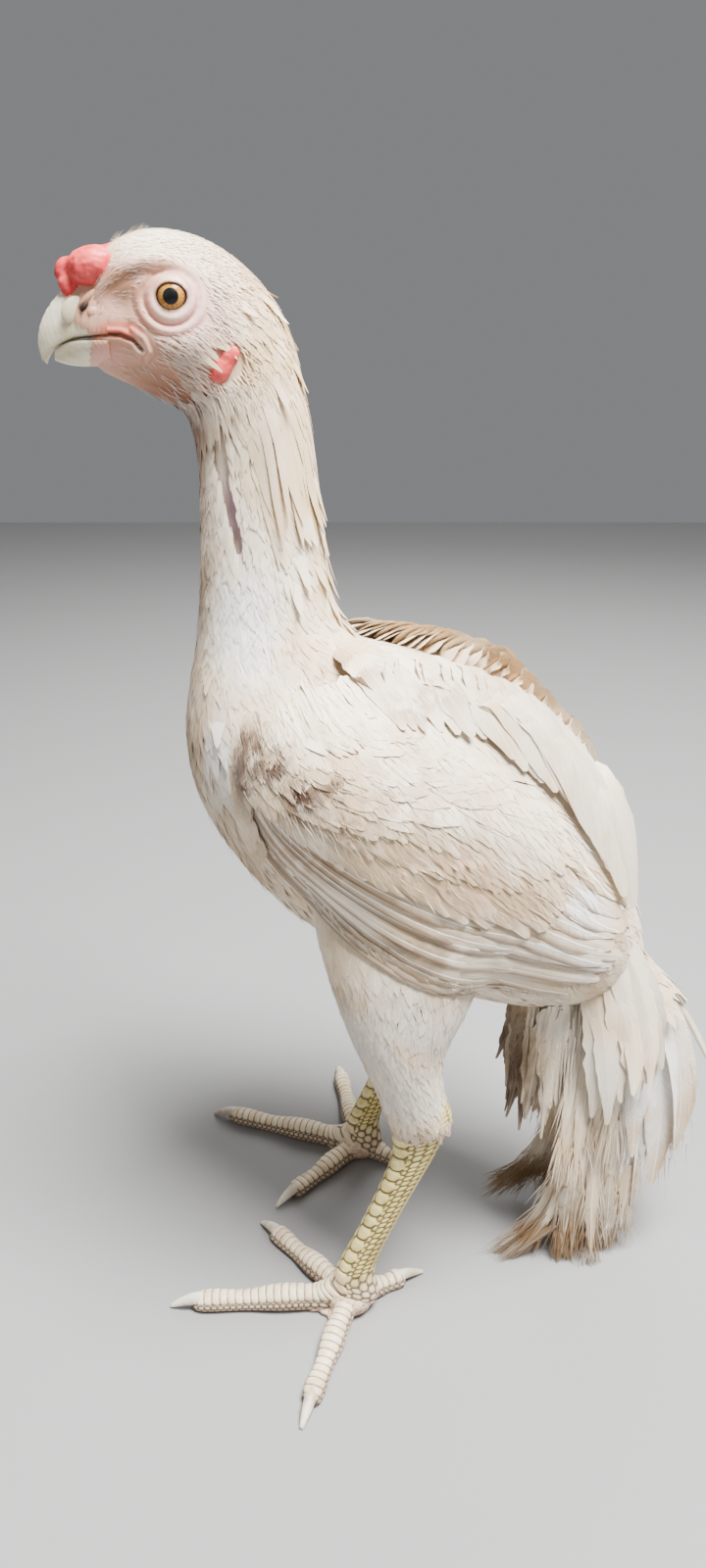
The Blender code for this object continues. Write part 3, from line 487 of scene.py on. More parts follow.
facePatches = {
    "ground": rgb(210, 164, 136),
    "flush": rgb(210, 142, 122),
    "patches": [  # colour, centre, size, strength
        (rgb(232, 196, 186), (-0.116, 0.022, 0.562), (0.024, 0.030, 0.022), 0.85),
        (rgb(132, 90, 64), (-0.147, 0.016, 0.5735), (0.020, 0.030, 0.014), 0.88),
        (rgb(176, 128, 100), (-0.168, 0.012, 0.5650), (0.012, 0.030, 0.0090), 0.80),
        (rgb(226, 120, 104), (-0.1560, 0.012, 0.5860), (0.010, 0.030, 0.010), 0.55),
        (rgb(226, 116, 90), (-0.150, 0.016, 0.5530), (0.016, 0.030, 0.0056), 0.90),
        (rgb(222, 172, 152), (-0.156, 0.012, 0.5620), (0.012, 0.030, 0.0070), 0.60),
        (rgb(240, 214, 194), (-0.1405, 0.018, 0.5436), (0.006, 0.020, 0.0030), 0.60),
        # chin: partly its own tone, partly painted shade under the head
        (rgb(170, 122, 98), (-0.134, 0.014, 0.5320), (0.034, 0.034, 0.0090), 0.75),
        (rgb(228, 168, 158), (-0.158, 0.012, 0.5410), (0.012, 0.030, 0.0060), 0.70),
        # throat, this and the next: partly brownish skin, partly painted shade under the head
        (rgb(136, 86, 60), (-0.132, 0.010, 0.521), (0.038, 0.034, 0.015), 0.95),
        (rgb(108, 70, 50), (-0.108, 0.010, 0.511), (0.030, 0.034, 0.018), 0.95),
        (rgb(222, 124, 104), (-0.103, 0.022, 0.541), (0.010, 0.020, 0.011), 0.60),
        (rgb(166, 122, 98), (-0.116, 0.022, 0.543), (0.026, 0.030, 0.014), 0.75),
    ],
    "faceCentre": (-0.1400, 0.0, 0.5460),
    "faceSize": (0.0560, 0.2000, 0.0470),
    "barePlace": (-0.0985, -0.022, 0.472),
    "bareSize": (0.009, 0.020, 0.034),
    # dark lid margin: partly the lid's own tone, partly painted shade where the lid turns in to the eye
    "lidRimAndShade": rgb(96, 60, 50),
    # painted shade in the mouth's groove
    "mouthShade": rgb(104, 56, 42),
    # painted shade in the folds round the eye and beside the mouth
    "paintedCreaseShade": rgb(204, 140, 126),
    "hornEdge": rgb(232, 222, 198),
}
skinLayers = ("hornEdge", "paintedCreaseShade", "lidRimAndShade", "mouthShade")


def faceGroup(facts):
    tree, into, out = makeGroup("faceMarks", [("Place", "Vector")], [("Colour", "Color"), ("Face", "Float")])
    folded = foldSides(tree, into.outputs[0])
    blotch = ease(tree, grain(tree, into.outputs[0], 90, 4.0), 0.42, 0.66)
    face = mixColour(tree, times(tree, blotch, 0.35), facts["ground"], facts["flush"])
    for shade, centre, size, strength in facts["patches"]:
        spot = useGroup(tree, softSpot, {"Place": folded, "Centre": centre, "Size": size}).outputs[0]
        face = mixColour(tree, times(tree, spot, strength), face, shade)
    where = {"Place": folded, "Centre": facts["faceCentre"], "Size": facts["faceSize"]}
    isFace = useGroup(tree, softSpot, where)
    tree.links.new(face, out.inputs[0])
    tree.links.new(ease(tree, isFace.outputs[0], 0.02, 0.30), out.inputs[1])
    return tree


faceMarks = faceGroup(facePatches)


def plumageMaterial(facts):
    made = newMaterial(facts["name"], Roughness=facts["roughness"], Sheen_Weight=0.2, Specular_IOR_Level=0.25)
    tree = made[1]
    root = add(tree, "Attribute", attribute_name="root").outputs["Vector"]
    tint = layerOf(tree, "tint")
    place = objectPlace(tree)
    vane = add(tree, "UVMap", uv_map="Vane").outputs[0]
    relief = useGroup(tree, featherBarbs, {
        "Map": vane, "Seed": tint, "Barbs": facts["barbs"],
        "Slant": facts["slant"], "Shaft place": facts["shaftPlace"],
    })
    streak = relief.outputs[2]
    stray = times(tree, sums(tree, "SUBTRACT", streak, 0.5), facts["stray"])
    shift = add(tree, "CombineXYZ", {0: stray, 1: 0.0, 2: stray}).outputs[0]
    mixed = add(tree, "Mix", {0: facts["follow"], 4: root, 5: place}, data_type="VECTOR").outputs[1]
    where = add(tree, "VectorMath", {0: mixed, 1: shift}, operation="ADD").outputs[0]
    marks = useGroup(tree, plumageMarks, {"Place": where}).outputs[0]
    if facts["face"]:
        skin = useGroup(tree, faceMarks, {"Place": where})
        pale = mixColour(tree, 0.42, skin.outputs[0], rgb(246, 234, 222))
        marks = mixColour(tree, times(tree, skin.outputs[1], facts["face"]), marks, pale)
    split = add(tree, "SeparateXYZ", {0: vane})
    tip = ease(tree, sums(tree, "ADD", split.outputs[1], times(tree, tint, 0.25)), 0.86, 1.18)
    colour = mixColour(tree, times(tree, tip, facts["tip"]), marks, facts["edge"])
    # a brown strip along one side of each vane: painted shade where the next feather overlaps it
    rim = times(tree, ease(tree, split.outputs[0], 0.80, 1.0), facts["rim"])
    colour = mixColour(tree, rim, colour, rgb(118, 88, 62))
    wash = ease(tree, streak, 0.28, 0.74, facts["dark"], 1.06)
    level = times(tree, ease(tree, tint, 0.0, 1.0, facts["vary"], 1.04), wash)
    grey = add(tree, "CombineXYZ", {0: level, 1: level, 2: level}).outputs[0]
    shaded = mixColour(tree, 1.0, colour, grey, "MULTIPLY")
    colour = mixColour(tree, times(tree, relief.outputs[1], facts["shaft"]), shaded, rgb(254, 250, 240))
    return finishMaterial(made, colour, relief.outputs[0], facts["bump"], 0.0005)


# rim sets how strong the painted shade along one side of each vane is
plumageFacts = {  # barbs and slant shape the streaks, follow is how far a vane takes its root's colour
    "roughness": 0.7, "face": 0, "shaftPlace": 0.5, "rim": 0.0,
}
bodyPlumage = plumageMaterial({
    **plumageFacts, "name": "bodyPlumage",
    "barbs": 34.0, "slant": 0.9, "bump": 0.25, "edge": rgb(218, 196, 166),
    "tip": 0.22, "stray": 0.014, "follow": 0.65, "dark": 0.90, "shaft": 0.20, "vary": 0.88,
})
hacklePlumage = plumageMaterial({
    **plumageFacts, "name": "hacklePlumage",
    "barbs": 12.0, "slant": 3.0, "bump": 0.30, "edge": rgb(222, 200, 160),
    "tip": 0.30, "stray": 0.012, "follow": 0.70, "dark": 0.92, "shaft": 0.15, "vary": 0.90,
})
headPlumage = plumageMaterial({
    **plumageFacts, "name": "headPlumage",
    "barbs": 4.0, "slant": 3.0, "bump": 0.15, "edge": rgb(246, 236, 222),
    "tip": 0.20, "roughness": 0.75, "stray": 0.004, "follow": 0.70, "face": 0.85, "dark": 0.92, "shaft": 0.0,
    "vary": 0.94,
})
flightPlumage = plumageMaterial({
    **plumageFacts, "name": "flightPlumage",
    "barbs": 90.0, "slant": 0.35, "bump": 0.40, "edge": rgb(196, 164, 124),
    "tip": 0.40, "roughness": 0.55, "stray": 0.016, "follow": 0.80, "dark": 0.80, "shaft": 0.95,
    "shaftPlace": 0.74, "rim": 0.85, "vary": 0.80,
})
tailPlumage = plumageMaterial({
    **plumageFacts, "name": "tailPlumage",
    "barbs": 90.0, "slant": 0.35, "bump": 0.40, "edge": rgb(176, 140, 92),
    "tip": 0.45, "roughness": 0.6, "stray": 0.020, "follow": 0.80, "dark": 0.84, "shaft": 0.50, "rim": 0.10,
    "vary": 0.86,
})


def skinMaterial(facts):
    made = newMaterial(
        "birdSkin", Roughness=0.5, Subsurface_Weight=0.12, Subsurface_Scale=0.004, Specular_IOR_Level=0.35
    )
    tree = made[1]
    place = objectPlace(tree)
    plumage = useGroup(tree, plumageMarks, {"Place": place}).outputs[0]
    face = useGroup(tree, faceMarks, {"Place": place})
    colour = mixColour(tree, face.outputs[1], plumage, face.outputs[0])
    bare = useGroup(tree, softSpot, {"Place": place, "Centre": facts["barePlace"], "Size": facts["bareSize"]})
    colour = mixColour(tree, bare.outputs[0], colour, rgb(186, 152, 160))
    # pale horn at the beak's edge, the dark lid margin (partly painted shade), and painted shade in the
    # mouth's groove and the face's folds
    for layer in skinLayers:
        colour = mixColour(tree, layerOf(tree, layer), colour, facts[layer])
    cells = add(tree, "TexVoronoi", {"Vector": place, "Scale": 900.0}, feature="DISTANCE_TO_EDGE")
    lines = ease(tree, cells.outputs["Distance"], 0.0, 0.12)
    wrinkle = grain(tree, place, 420, 4.0)
    height = sums(tree, "ADD", times(tree, lines, 0.3), wrinkle)
    pores = times(tree, sums(tree, "SUBTRACT", 1.0, lines), 0.12)
    return finishMaterial(made, mixColour(tree, pores, colour, rgb(196, 146, 126)), height, 0.4, 0.0004)


def fleshMaterial(name, colour, deep, cell):  # comb and earlobes
    made = newMaterial(
        name, Roughness=0.42, Subsurface_Weight=0.15, Subsurface_Scale=0.003, Specular_IOR_Level=0.4
    )
    tree = made[1]
    place = objectPlace(tree)
    blotch = ease(tree, grain(tree, place, 110, 3.0), 0.36, 0.68)
    pebbles = add(tree, "TexVoronoi", {"Vector": place, "Scale": cell}).outputs["Distance"]
    height = sums(tree, "SUBTRACT", grain(tree, place, 500), times(tree, pebbles, 0.7))
    shade = mixColour(tree, blotch, colour, deep)
    shade = mixColour(tree, times(tree, ease(tree, pebbles, 0.5, 0.1), 0.10), shade, rgb(240, 130, 118))
    return finishMaterial(made, shade, height, 0.35, 0.0004)


def hornMaterial(name, pale, dark, stretch, roughness=0.34):  # horn, with skin where the piece is marked so
    made = newMaterial(
        name, Roughness=roughness, Subsurface_Weight=0.08, Subsurface_Scale=0.003, Specular_IOR_Level=0.5
    )
    tree = made[1]
    place = objectPlace(tree)
    stretched = add(tree, "Mapping", {"Vector": place, "Scale": stretch}).outputs[0]
    streak = grain(tree, stretched, 60, 4.0)
    colour = mixColour(tree, ease(tree, streak, 0.40, 0.70), pale, dark)
    cere = layerOf(tree, "cere")
    skinColour = useGroup(tree, faceMarks, {"Place": place}).outputs[0]
    uneven = sums(tree, "ADD", cere, times(tree, sums(tree, "SUBTRACT", streak, 0.5), 0.4))
    onSkin = times(tree, ease(tree, uneven, 0.30, 0.70), ease(tree, cere, 0.0, 0.1))
    scratch = grain(tree, stretched, 190, 5.0)
    rough = ease(tree, scratch, 0.3, 0.8, roughness - 0.04, roughness + 0.2)
    feed(tree, made[2], {"Roughness": rough})
    return finishMaterial(made, mixColour(tree, onSkin, colour, skinColour), scratch, 0.3, 0.0003)


def scuteMaterial(facts):
    made = newMaterial(
        "legScales", Roughness=0.5, Subsurface_Weight=0.06, Subsurface_Scale=0.003, Specular_IOR_Level=0.45
    )
    tree = made[1]
    place = objectPlace(tree)
    rise = layerOf(tree, "plate")
    under = layerOf(tree, "under")
    high = ease(tree, add(tree, "SeparateXYZ", {0: place}).outputs[2], 0.014, 0.040)
    blotch = ease(tree, grain(tree, place, 130, 4.0), 0.40, 0.68)
    shank = mixColour(tree, times(tree, blotch, 0.7), facts["shank"], facts["shankShade"])
    toe = mixColour(tree, times(tree, blotch, 0.7), facts["toe"], facts["toeShade"])
    colour = mixColour(tree, high, toe, shank)
    colour = mixColour(tree, under, colour, facts["sole"])
    groove = mixColour(tree, high, facts["toeGroove"], facts["shankGroove"])
    edge = ease(tree, rise, 0.70, 0.16)
    dirt = ease(tree, grain(tree, place, 60, 5.0), 0.50, 0.74)
    colour = mixColour(tree, times(tree, dirt, 0.35), colour, groove)
    colour = mixColour(tree, times(tree, edge, 0.95), colour, groove)
    worn = ease(tree, rise, 0.86, 1.0)
    colour = mixColour(tree, times(tree, worn, 0.35), colour, facts["worn"])
    height = sums(tree, "ADD", grain(tree, place, 700, 3.0), grain(tree, place, 240, 3.0))
    feed(tree, made[2], {"Roughness": ease(tree, edge, 0.0, 1.0, 0.40, 0.75)})
    return finishMaterial(made, colour, height, 0.35, 0.0003)


birdSkin = skinMaterial(facePatches)
combFlesh = fleshMaterial("combFlesh", rgb(222, 80, 80), rgb(200, 48, 52), 420.0)
lobeFlesh = fleshMaterial("lobeFlesh", rgb(212, 82, 76), rgb(196, 56, 56), 620.0)
beakHorn = hornMaterial("beakHorn", rgb(236, 228, 204), rgb(206, 192, 156), (0.5, 2.0, 1.2))
clawHorn = hornMaterial("clawHorn", rgb(230, 220, 202), rgb(176, 158, 134), (1.0, 1.0, 1.0), 0.42)
legScales = scuteMaterial({
    "shank": rgb(236, 216, 140), "shankShade": rgb(210, 184, 106), "toe": rgb(238, 220, 188),
    "toeShade": rgb(216, 188, 150), "sole": rgb(214, 176, 152), "worn": rgb(252, 246, 230),
    "shankGroove": rgb(82, 68, 34), "toeGroove": rgb(84, 60, 44),
})
print("materials made")


# Skin: one closed form for body, neck, head, thighs and wing arms
eyeForm = {"radius": 0.0095, "bulge": 0.0006, "pupil": 0.0036, "iris": 0.0066}
headForm = {
    "eye": (-0.1243, 0.5672),
    "opening": (0.0073, 0.0060),
    "lidThick": (0.0006, 0.0010),  # below the eye, and how much more above it
    "lidRadius": 0.0092,
    "lidRise": 0.0010,
    "mouth": [(-0.1690, 0.5492), (-0.1600, 0.5508), (-0.1500, 0.5506), (-0.1440, 0.5484), (-0.1400, 0.5440)],
    "mouthDepth": 0.0024,
    "lipRise": 0.0009,
    "tuck": [0.0, 0.0010, 0.0030],  # the face runs in under the beak's own skin
    "bodyRings": 80,
    "headRings": 190,
    "around": 210,
    "sideShare": 0.18,  # how much closer the points stand on the sides than on back and belly
}


def ridge(distance, centre, width, height):
    return height * np.exp(-(((distance - centre) / width) ** 2))


def dome(x, z, centre, size):  # a soft bump, 1 at its centre
    return np.exp(-(((x - centre[0]) / size[0]) ** 2) - ((z - centre[1]) / size[1]) ** 2)


def lineDistance(x, z, points):
    best = np.full(np.shape(x), 9.0)
    for (ax, az), (bx, bz) in zip(points, points[1:]):
        px, pz = bx - ax, bz - az
        share = np.clip(((x - ax) * px + (z - az) * pz) / (px * px + pz * pz), 0, 1)
        best = np.minimum(best, np.hypot(x - ax - share * px, z - az - share * pz))
    return best


def eyeDistance(x, z):
    eyeX, eyeZ = headForm["eye"]
    wide, high = headForm["opening"]
    return np.hypot((x - eyeX) / wide, (z - eyeZ) / high)


def headRelief(spot):  # how far the face stands out from its plain form
    x, y, z = spot[..., 0], np.abs(spot[..., 1]), spot[..., 2]
    eyeX, eyeZ = headForm["eye"]
    fromEye = np.hypot((x - eyeX) / 1.08, z - eyeZ)
    turn = np.arctan2(z - eyeZ, x - eyeX)
    onSide = np.clip((y - 0.008) / 0.006, 0, 1)
    below = 0.5 - 0.5 * np.sin(turn + 0.5)
    lids = ridge(fromEye, headForm["lidRadius"], 0.0018, headForm["lidRise"])
    lids -= ridge(fromEye, 0.0113 + 0.0014 * below, 0.0008, 0.0004 + 0.0007 * below)
    lids += ridge(fromEye, 0.0134 + 0.0018 * below, 0.0016, 0.0009 * below)
    lids -= ridge(fromEye, 0.0160 + 0.0020 * below, 0.0010, 0.0005 * below)
    creases = 0.00006 * np.sin(turn * 21 + 60 * fromEye) * ridge(fromEye, 0.0122, 0.0030, 1.0)
    arch = 0.5825 - 14 * (x + 0.130) ** 2
    brow = 0.0028 * dome(x, z - arch, (-0.134, 0), (0.019, 0.0036))
    brow -= 0.0009 * dome(x, z - arch + 0.0052, (-0.134, 0), (0.014, 0.0016))
    cheek = 0.0020 * dome(x, z, (-0.120, 0.5450), (0.014, 0.0075))
    lore = -0.0016 * dome(x, z, (-0.149, 0.5640), (0.0075, 0.0075))
    toMouth = lineDistance(x, z, headForm["mouth"])
    mouth = -ridge(toMouth, 0.0, 0.0006, headForm["mouthDepth"])
    mouth += ridge(toMouth, 0.0019, 0.0009, headForm["lipRise"]) * (x < -0.1385)
    fold = lineDistance(x, z, [(-0.1440, 0.5530), (-0.1385, 0.5490), (-0.1360, 0.5430), (-0.1390, 0.5395)])
    mouth += ridge(fold, 0.0, 0.0010, 0.0009) - ridge(fold, 0.0020, 0.0006, 0.0004)
    chin = 0.0004 * np.sin((z + 0.4 * x) * 1400) * dome(x, z, (-0.126, 0.521), (0.024, 0.009))
    return onSide * (lids + creases + brow + cheek + lore + mouth) + chin


def headSurface(place, angle, lift):  # the body's form with the face's relief
    place, angle, lift = np.broadcast_arrays(place, angle, lift)
    plain = bodySurface(place, angle, -coatDepth(place))
    return bodySurface(place, angle, lift + headRelief(plain) * np.clip((place - 14.5) / 1.5, 0, 1))


def skinPoints(along, turn):
    split = headForm["bodyRings"] / (headForm["bodyRings"] + headForm["headRings"])
    place = np.interp(along, [0, split, 1], [0.0, 14.0, 21.0])
    turn = turn - headForm["sideShare"] * np.sin(2 * turn)
    return headSurface(place, turn, -coatDepth(place) - np.interp(place, [19.4, 20.4, 21], headForm["tuck"]))


def cutEyeOpening(bm, side):
    eyeX, eyeZ = headForm["eye"]
    wide, high = headForm["opening"]

    def share(co):
        return math.hypot((co.x - eyeX) / wide, (co.z - eyeZ) / high)

    middles = [(face, face.calc_center_median()) for face in bm.faces]
    gone = [face for face, middle in middles if middle.y * side > 0.012 and share(middle) < 1]
    bmesh.ops.delete(bm, geom=gone, context="FACES")
    rim = [e for e in bm.edges if e.is_boundary and all(v.co.y * side > 0.01 for v in e.verts)]
    for vert in {v for e in rim for v in e.verts}:
        size = share(vert.co)
        vert.co.x = eyeX + (vert.co.x - eyeX) / size
        vert.co.z = eyeZ + (vert.co.z - eyeZ) / size
    low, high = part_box("eye_left" if side < 0 else "eye_right")
    middle, radius = (low + high) / 2, eyeForm["radius"]
    for vert in bm.verts:
        off = math.hypot(vert.co.x - middle[0], vert.co.z - middle[2])
        if vert.co.y * side > 0.010 and off < radius:
            thin, more = headForm["lidThick"]
            thick = thin + more * max(0.0, vert.co.z - middle[2]) / radius
            ball = abs(middle[1]) + math.sqrt(radius**2 - off**2)
            vert.co.y = side * max(vert.co.y * side, ball + thick)
    for inward, drop in ((0.97, 0.0006), (0.90, 0.0026)):
        made = bmesh.ops.extrude_edge_only(bm, edges=rim)["geom"]
        rim = [g for g in made if isinstance(g, bmesh.types.BMEdge)]
        for vert in {v for e in rim for v in e.verts}:
            vert.co.x = eyeX + (vert.co.x - eyeX) * inward
            vert.co.z = eyeZ + (vert.co.z - eyeZ) * inward
            vert.co.y -= side * drop
    bmesh.ops.holes_fill(bm, edges=rim)


def joinAll(obj, others):  # one Boolean union that uses the others up
    group = bpy.data.collections.new("joined")
    bpy.context.scene.collection.children.link(group)
    for other in others:
        group.objects.link(other)
    boolean = obj.modifiers.new("joined", "BOOLEAN")
    boolean.operation = "UNION"
    boolean.operand_type = "COLLECTION"
    boolean.collection = group
    boolean.solver = "EXACT"
    graph = bpy.context.evaluated_depsgraph_get()
    graph.update()
    mesh = bpy.data.meshes.new_from_object(obj.evaluated_get(graph))
    obj.modifiers.clear()
    obj.data = mesh
    for other in others:
        bpy.data.objects.remove(other, do_unlink=True)
    bpy.data.collections.remove(group)


def paintSkin(mesh):  # marks that the skin's material reads
    spot = np.empty(len(mesh.vertices) * 3, np.float32)
    mesh.vertices.foreach_get("co", spot)
    x, y, z = spot.reshape(-1, 3).astype(float).T
    onHead = (np.abs(y) > 0.006) & (x < -0.100) & (z > 0.525)
    share = eyeDistance(x, z)
    toMouth = lineDistance(x, z, headForm["mouth"])
    onEye = np.hypot(x - headForm["eye"][0], z - headForm["eye"][1])
    # dark lid margin: its own tone and painted shade where the lid turns in to the eye
    setLayer(mesh, "lidRimAndShade", np.clip(1.16 - share, 0, 0.14) / 0.14 * onHead * 0.8)
    # painted shade along the mouth's groove
    setLayer(mesh, "mouthShade", np.exp(-((toMouth / 0.0009) ** 2)) * onHead)
    border = np.interp(z, [0.5360, 0.5440, 0.5495, 0.5560], [-0.1690, -0.1650, -0.1640, -0.1720])
    border = border + 0.0007 * np.sin(z * 1900)
    setLayer(mesh, "hornEdge", np.clip((border - x) / 0.0020, 0, 1) * (z < 0.563) * (x < -0.15))
    # painted shade in the folds round the eye and in a groove beside the mouth
    below = 0.5 - 0.5 * np.sin(np.arctan2(z - headForm["eye"][1], x - headForm["eye"][0]) + 0.5)
    creases = ridge(onEye, 0.0113 + 0.0014 * below, 0.0010, 0.9)
    creases = creases + ridge(onEye, 0.0160 + 0.0020 * below, 0.0012, 0.6)
    setLayer(mesh, "paintedCreaseShade", np.clip(creases + ridge(toMouth, 0.0034, 0.0008, 0.5), 0, 1) * onHead)


def thighSkin(side):
    surface = limbSurface(thighRows, side)

    def points(along, turn):
        return surface(along * 5, turn, np.full_like(turn, -birdForm["thighDepth"]))

    return toMesh(gridTube(40, 40, points), "thighSkin")


def makeSkin():
    rings = headForm["bodyRings"] + headForm["headRings"]
    bm = gridTube(rings, headForm["around"], skinPoints)
    for side in sides.values():
        cutEyeOpening(bm, side)
    bmesh.ops.recalc_face_normals(bm, faces=bm.faces)
    skin = bpy.data.objects.new("birdSkin", toMesh(bm, "birdSkin"))
    bpy.context.scene.collection.objects.link(skin)
    parts = []
    for side in sides.values():
        parts.append(bpy.data.objects.new("thighSkin", thighSkin(side)))
        parts.append(bpy.data.objects.new("armSkin", armSkin(side)))
    joinAll(skin, parts)
    mesh = skin.data
    mesh.shade_smooth()
    mesh.materials.append(birdSkin)
    paintSkin(mesh)
    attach(skin, "root")
    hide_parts("torso", "neck", "head", "thigh_left", "thigh_right")
    return skin


def armSkin(side):  # the folded arm under the coverts
    bm = bmesh.new()
    bmesh.ops.create_uvsphere(bm, u_segments=28, v_segments=18, radius=1.0)
    turn = Matrix.Rotation(math.radians(wingForm["slope"]), 4, "Y")
    armX, armZ = wingForm["arm"]
    size = Matrix.Diagonal((0.050, 0.0130, 0.040, 1.0))
    bmesh.ops.transform(bm, verts=bm.verts, matrix=Matrix.Translation((armX, 0, armZ)) @ turn @ size)
    co = np.array([v.co for v in bm.verts])
    for vert, out in zip(bm.verts, wingLie(co[:, 0], co[:, 2])):
        vert.co.y += side * (out - 0.002)
    bmesh.ops.recalc_face_normals(bm, faces=bm.faces)
    return toMesh(bm, "armSkin")


skin = makeSkin()
print("skin", len(skin.data.polygons))


# Eyes
def eyeMaterial(facts):
    material, tree, shader = newMaterial(
        "eyeball", Roughness=0.35, Specular_IOR_Level=0.2, Coat_Weight=0.25, Coat_Roughness=0.04
    )
    place = objectPlace(tree)
    split = add(tree, "SeparateXYZ", {0: place})
    eyeX, eyeZ = headForm["eye"]
    fromX = sums(tree, "SUBTRACT", split.outputs[0], eyeX)
    fromZ = sums(tree, "SUBTRACT", split.outputs[2], eyeZ)
    flat = add(tree, "CombineXYZ", {0: fromX, 2: fromZ}).outputs[0]
    radius = add(tree, "VectorMath", {0: flat}, operation="LENGTH").outputs["Value"]
    turn = sums(tree, "ARCTAN2", fromZ, fromX)
    rays = grain(tree, add(tree, "CombineXYZ", {0: turn, 1: times(tree, radius, 60.0)}).outputs[0], 9, 3.0)
    iris = mixColour(tree, ease(tree, rays, 0.35, 0.65), rgb(190, 138, 58), rgb(134, 90, 34))
    iris = mixColour(tree, ease(tree, radius, facts["pupil"] + 0.0016, facts["iris"]), iris, rgb(96, 60, 26))
    colour = mixColour(tree, ease(tree, radius, facts["iris"] - 0.0006, facts["iris"]), iris, rgb(40, 22, 14))
    inPupil = ease(tree, radius, facts["pupil"] + 0.0002, facts["pupil"] - 0.0001)
    colour = mixColour(tree, inPupil, colour, rgb(11, 11, 11))
    tree.links.new(colour, shader.inputs["Base Color"])
    return material


def makeEye(name, side, material):
    low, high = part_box(name)
    centre = (low + high) / 2
    bm = bmesh.new()
    bmesh.ops.create_uvsphere(bm, u_segments=48, v_segments=32, radius=eyeForm["radius"])
    bmesh.ops.rotate(bm, verts=bm.verts, matrix=Matrix.Rotation(math.pi / 2, 3, "X"))
    for vert in bm.verts:
        front = max(0.0, vert.co.y * side / eyeForm["radius"])
        vert.co.y += side * eyeForm["bulge"] * max(0.0, front - 0.80) / 0.20 * 0.5
    bmesh.ops.translate(bm, verts=bm.verts, vec=centre)
    eye = finish(toMesh(bm, name), f"{name}ball", material, smooth=0)
    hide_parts(name)


eyeball = eyeMaterial(eyeForm)
for label, side in sides.items():
    makeEye(f"eye_{label}", side, eyeball)
print("eyes set")


# Beak, comb and earlobes
beakForm = {
    "upper": [
        (-0.1560, 0.5800, -0.1560, 0.5496, 0.0170),
        (-0.1673, 0.5780, -0.1673, 0.5494, 0.0133),
        (-0.1765, 0.5730, -0.1745, 0.5486, 0.0104),
        (-0.1855, 0.5650, -0.1812, 0.5466, 0.0076),
        (-0.1915, 0.5560, -0.1866, 0.5435, 0.0050),
        (-0.1938, 0.5470, -0.1892, 0.5400, 0.0028),
        (-0.1926, 0.5392, -0.1902, 0.5374, 0.0010),
    ],
    "lower": [
        (-0.1560, 0.5490, -0.1560, 0.5362, 0.0164),
        (-0.1673, 0.5488, -0.1673, 0.5361, 0.0128),
        (-0.1745, 0.5482, -0.1752, 0.5362, 0.0096),
        (-0.1805, 0.5462, -0.1815, 0.5372, 0.0064),
        (-0.1850, 0.5436, -0.1860, 0.5388, 0.0036),
    ],
    "upperWaist": 0.08,
    "lowerWaist": 0.92,
    "rings": 90,
    "around": 64,
    "cereRise": 0.0008,
    "cereRun": 0.0032,
    "skinEdge": [-0.1640, -0.1700, -0.1746, -0.1770, -0.1808, -0.1880],  # where the skin ends, mouth upwards
}


def cereShare(spot):  # the skin over the root of the beak ends along slanted edges above and below the mouth
    x, z = spot[:, 0], spot[:, 2]
    above = np.interp(z, [0.5492, 0.5530, 0.5568, 0.5620, 0.5700, 0.5760], beakForm["skinEdge"])
    below = np.interp(z, [0.5366, 0.5480], [-0.1700, -0.1655])
    edge = np.where(z > 0.5490, above, below) + 0.0006 * np.sin(z * 2200)
    share = np.clip((x - edge) / beakForm["cereRun"], 0, 1)
    return share * share * (3 - 2 * share)


def beakHalf(name, node, rows, waist):
    rows = np.array(rows)
    steps = len(rows) - 1

    def points(along, turn):
        row = between(rows, along * steps)
        up, down = row[:, 0:2], row[:, 2:4]
        rise = np.sin(turn)[:, None]
        middle = down + (up - down) * waist
        spot = np.zeros((len(row), 3))
        spot[:, 0::2] = middle + (up - down) * np.where(rise > 0, (1 - waist) * rise, waist * rise)
        spot[:, 1] = np.cos(turn) * row[:, 4]
        growth = 0.00012 * np.sin(along * 95 + 2 * np.sin(turn)) * (1 - along)
        spot[:, 0] += growth
        skinned = cereShare(spot)
        fold = 0.00025 * np.sin(spot[:, 0] * 2600 + spot[:, 2] * 1500)
        rise = (beakForm["cereRise"] + fold) * skinned
        spot[:, 1] += np.cos(turn) * rise
        spot[:, 2] += np.sin(turn) * rise * (spot[:, 2] > 0.552)
        return spot

    bm = gridTube(beakForm["rings"], beakForm["around"], points)
    mesh = toMesh(bm, name)
    setLayer(mesh, "cere", cereShare(np.array([v.co for v in mesh.vertices])))
    half = finish(mesh, name, beakHorn, smooth=70)
    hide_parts(node)


combForm = {
    "bulbs": [  # x, z, distance from the middle plane, radius, how much longer
        (-0.1748, 0.5790, 0.0, 0.0068, 1.2),
        (-0.1755, 0.5735, 0.0040, 0.0044, 1.2),
        (-0.1645, 0.5812, 0.0040, 0.0088, 1.30),
        (-0.1625, 0.5806, 0.0085, 0.0084, 1.36),
        (-0.1560, 0.5850, 0.0, 0.0060, 1.4),
        (-0.1735, 0.5700, 0.0050, 0.0042, 1.3),
    ],
    "slope": -16,
    "voxel": 0.0006,
}


def lump(bm, centre, size, slope):
    made = bmesh.ops.create_icosphere(bm, subdivisions=3, radius=1.0)["verts"]
    turn = Matrix.Rotation(math.radians(slope), 4, "Y")
    placed = Matrix.Translation(centre) @ turn @ Matrix.Diagonal((*size, 1.0))
    bmesh.ops.transform(bm, verts=made, matrix=placed)


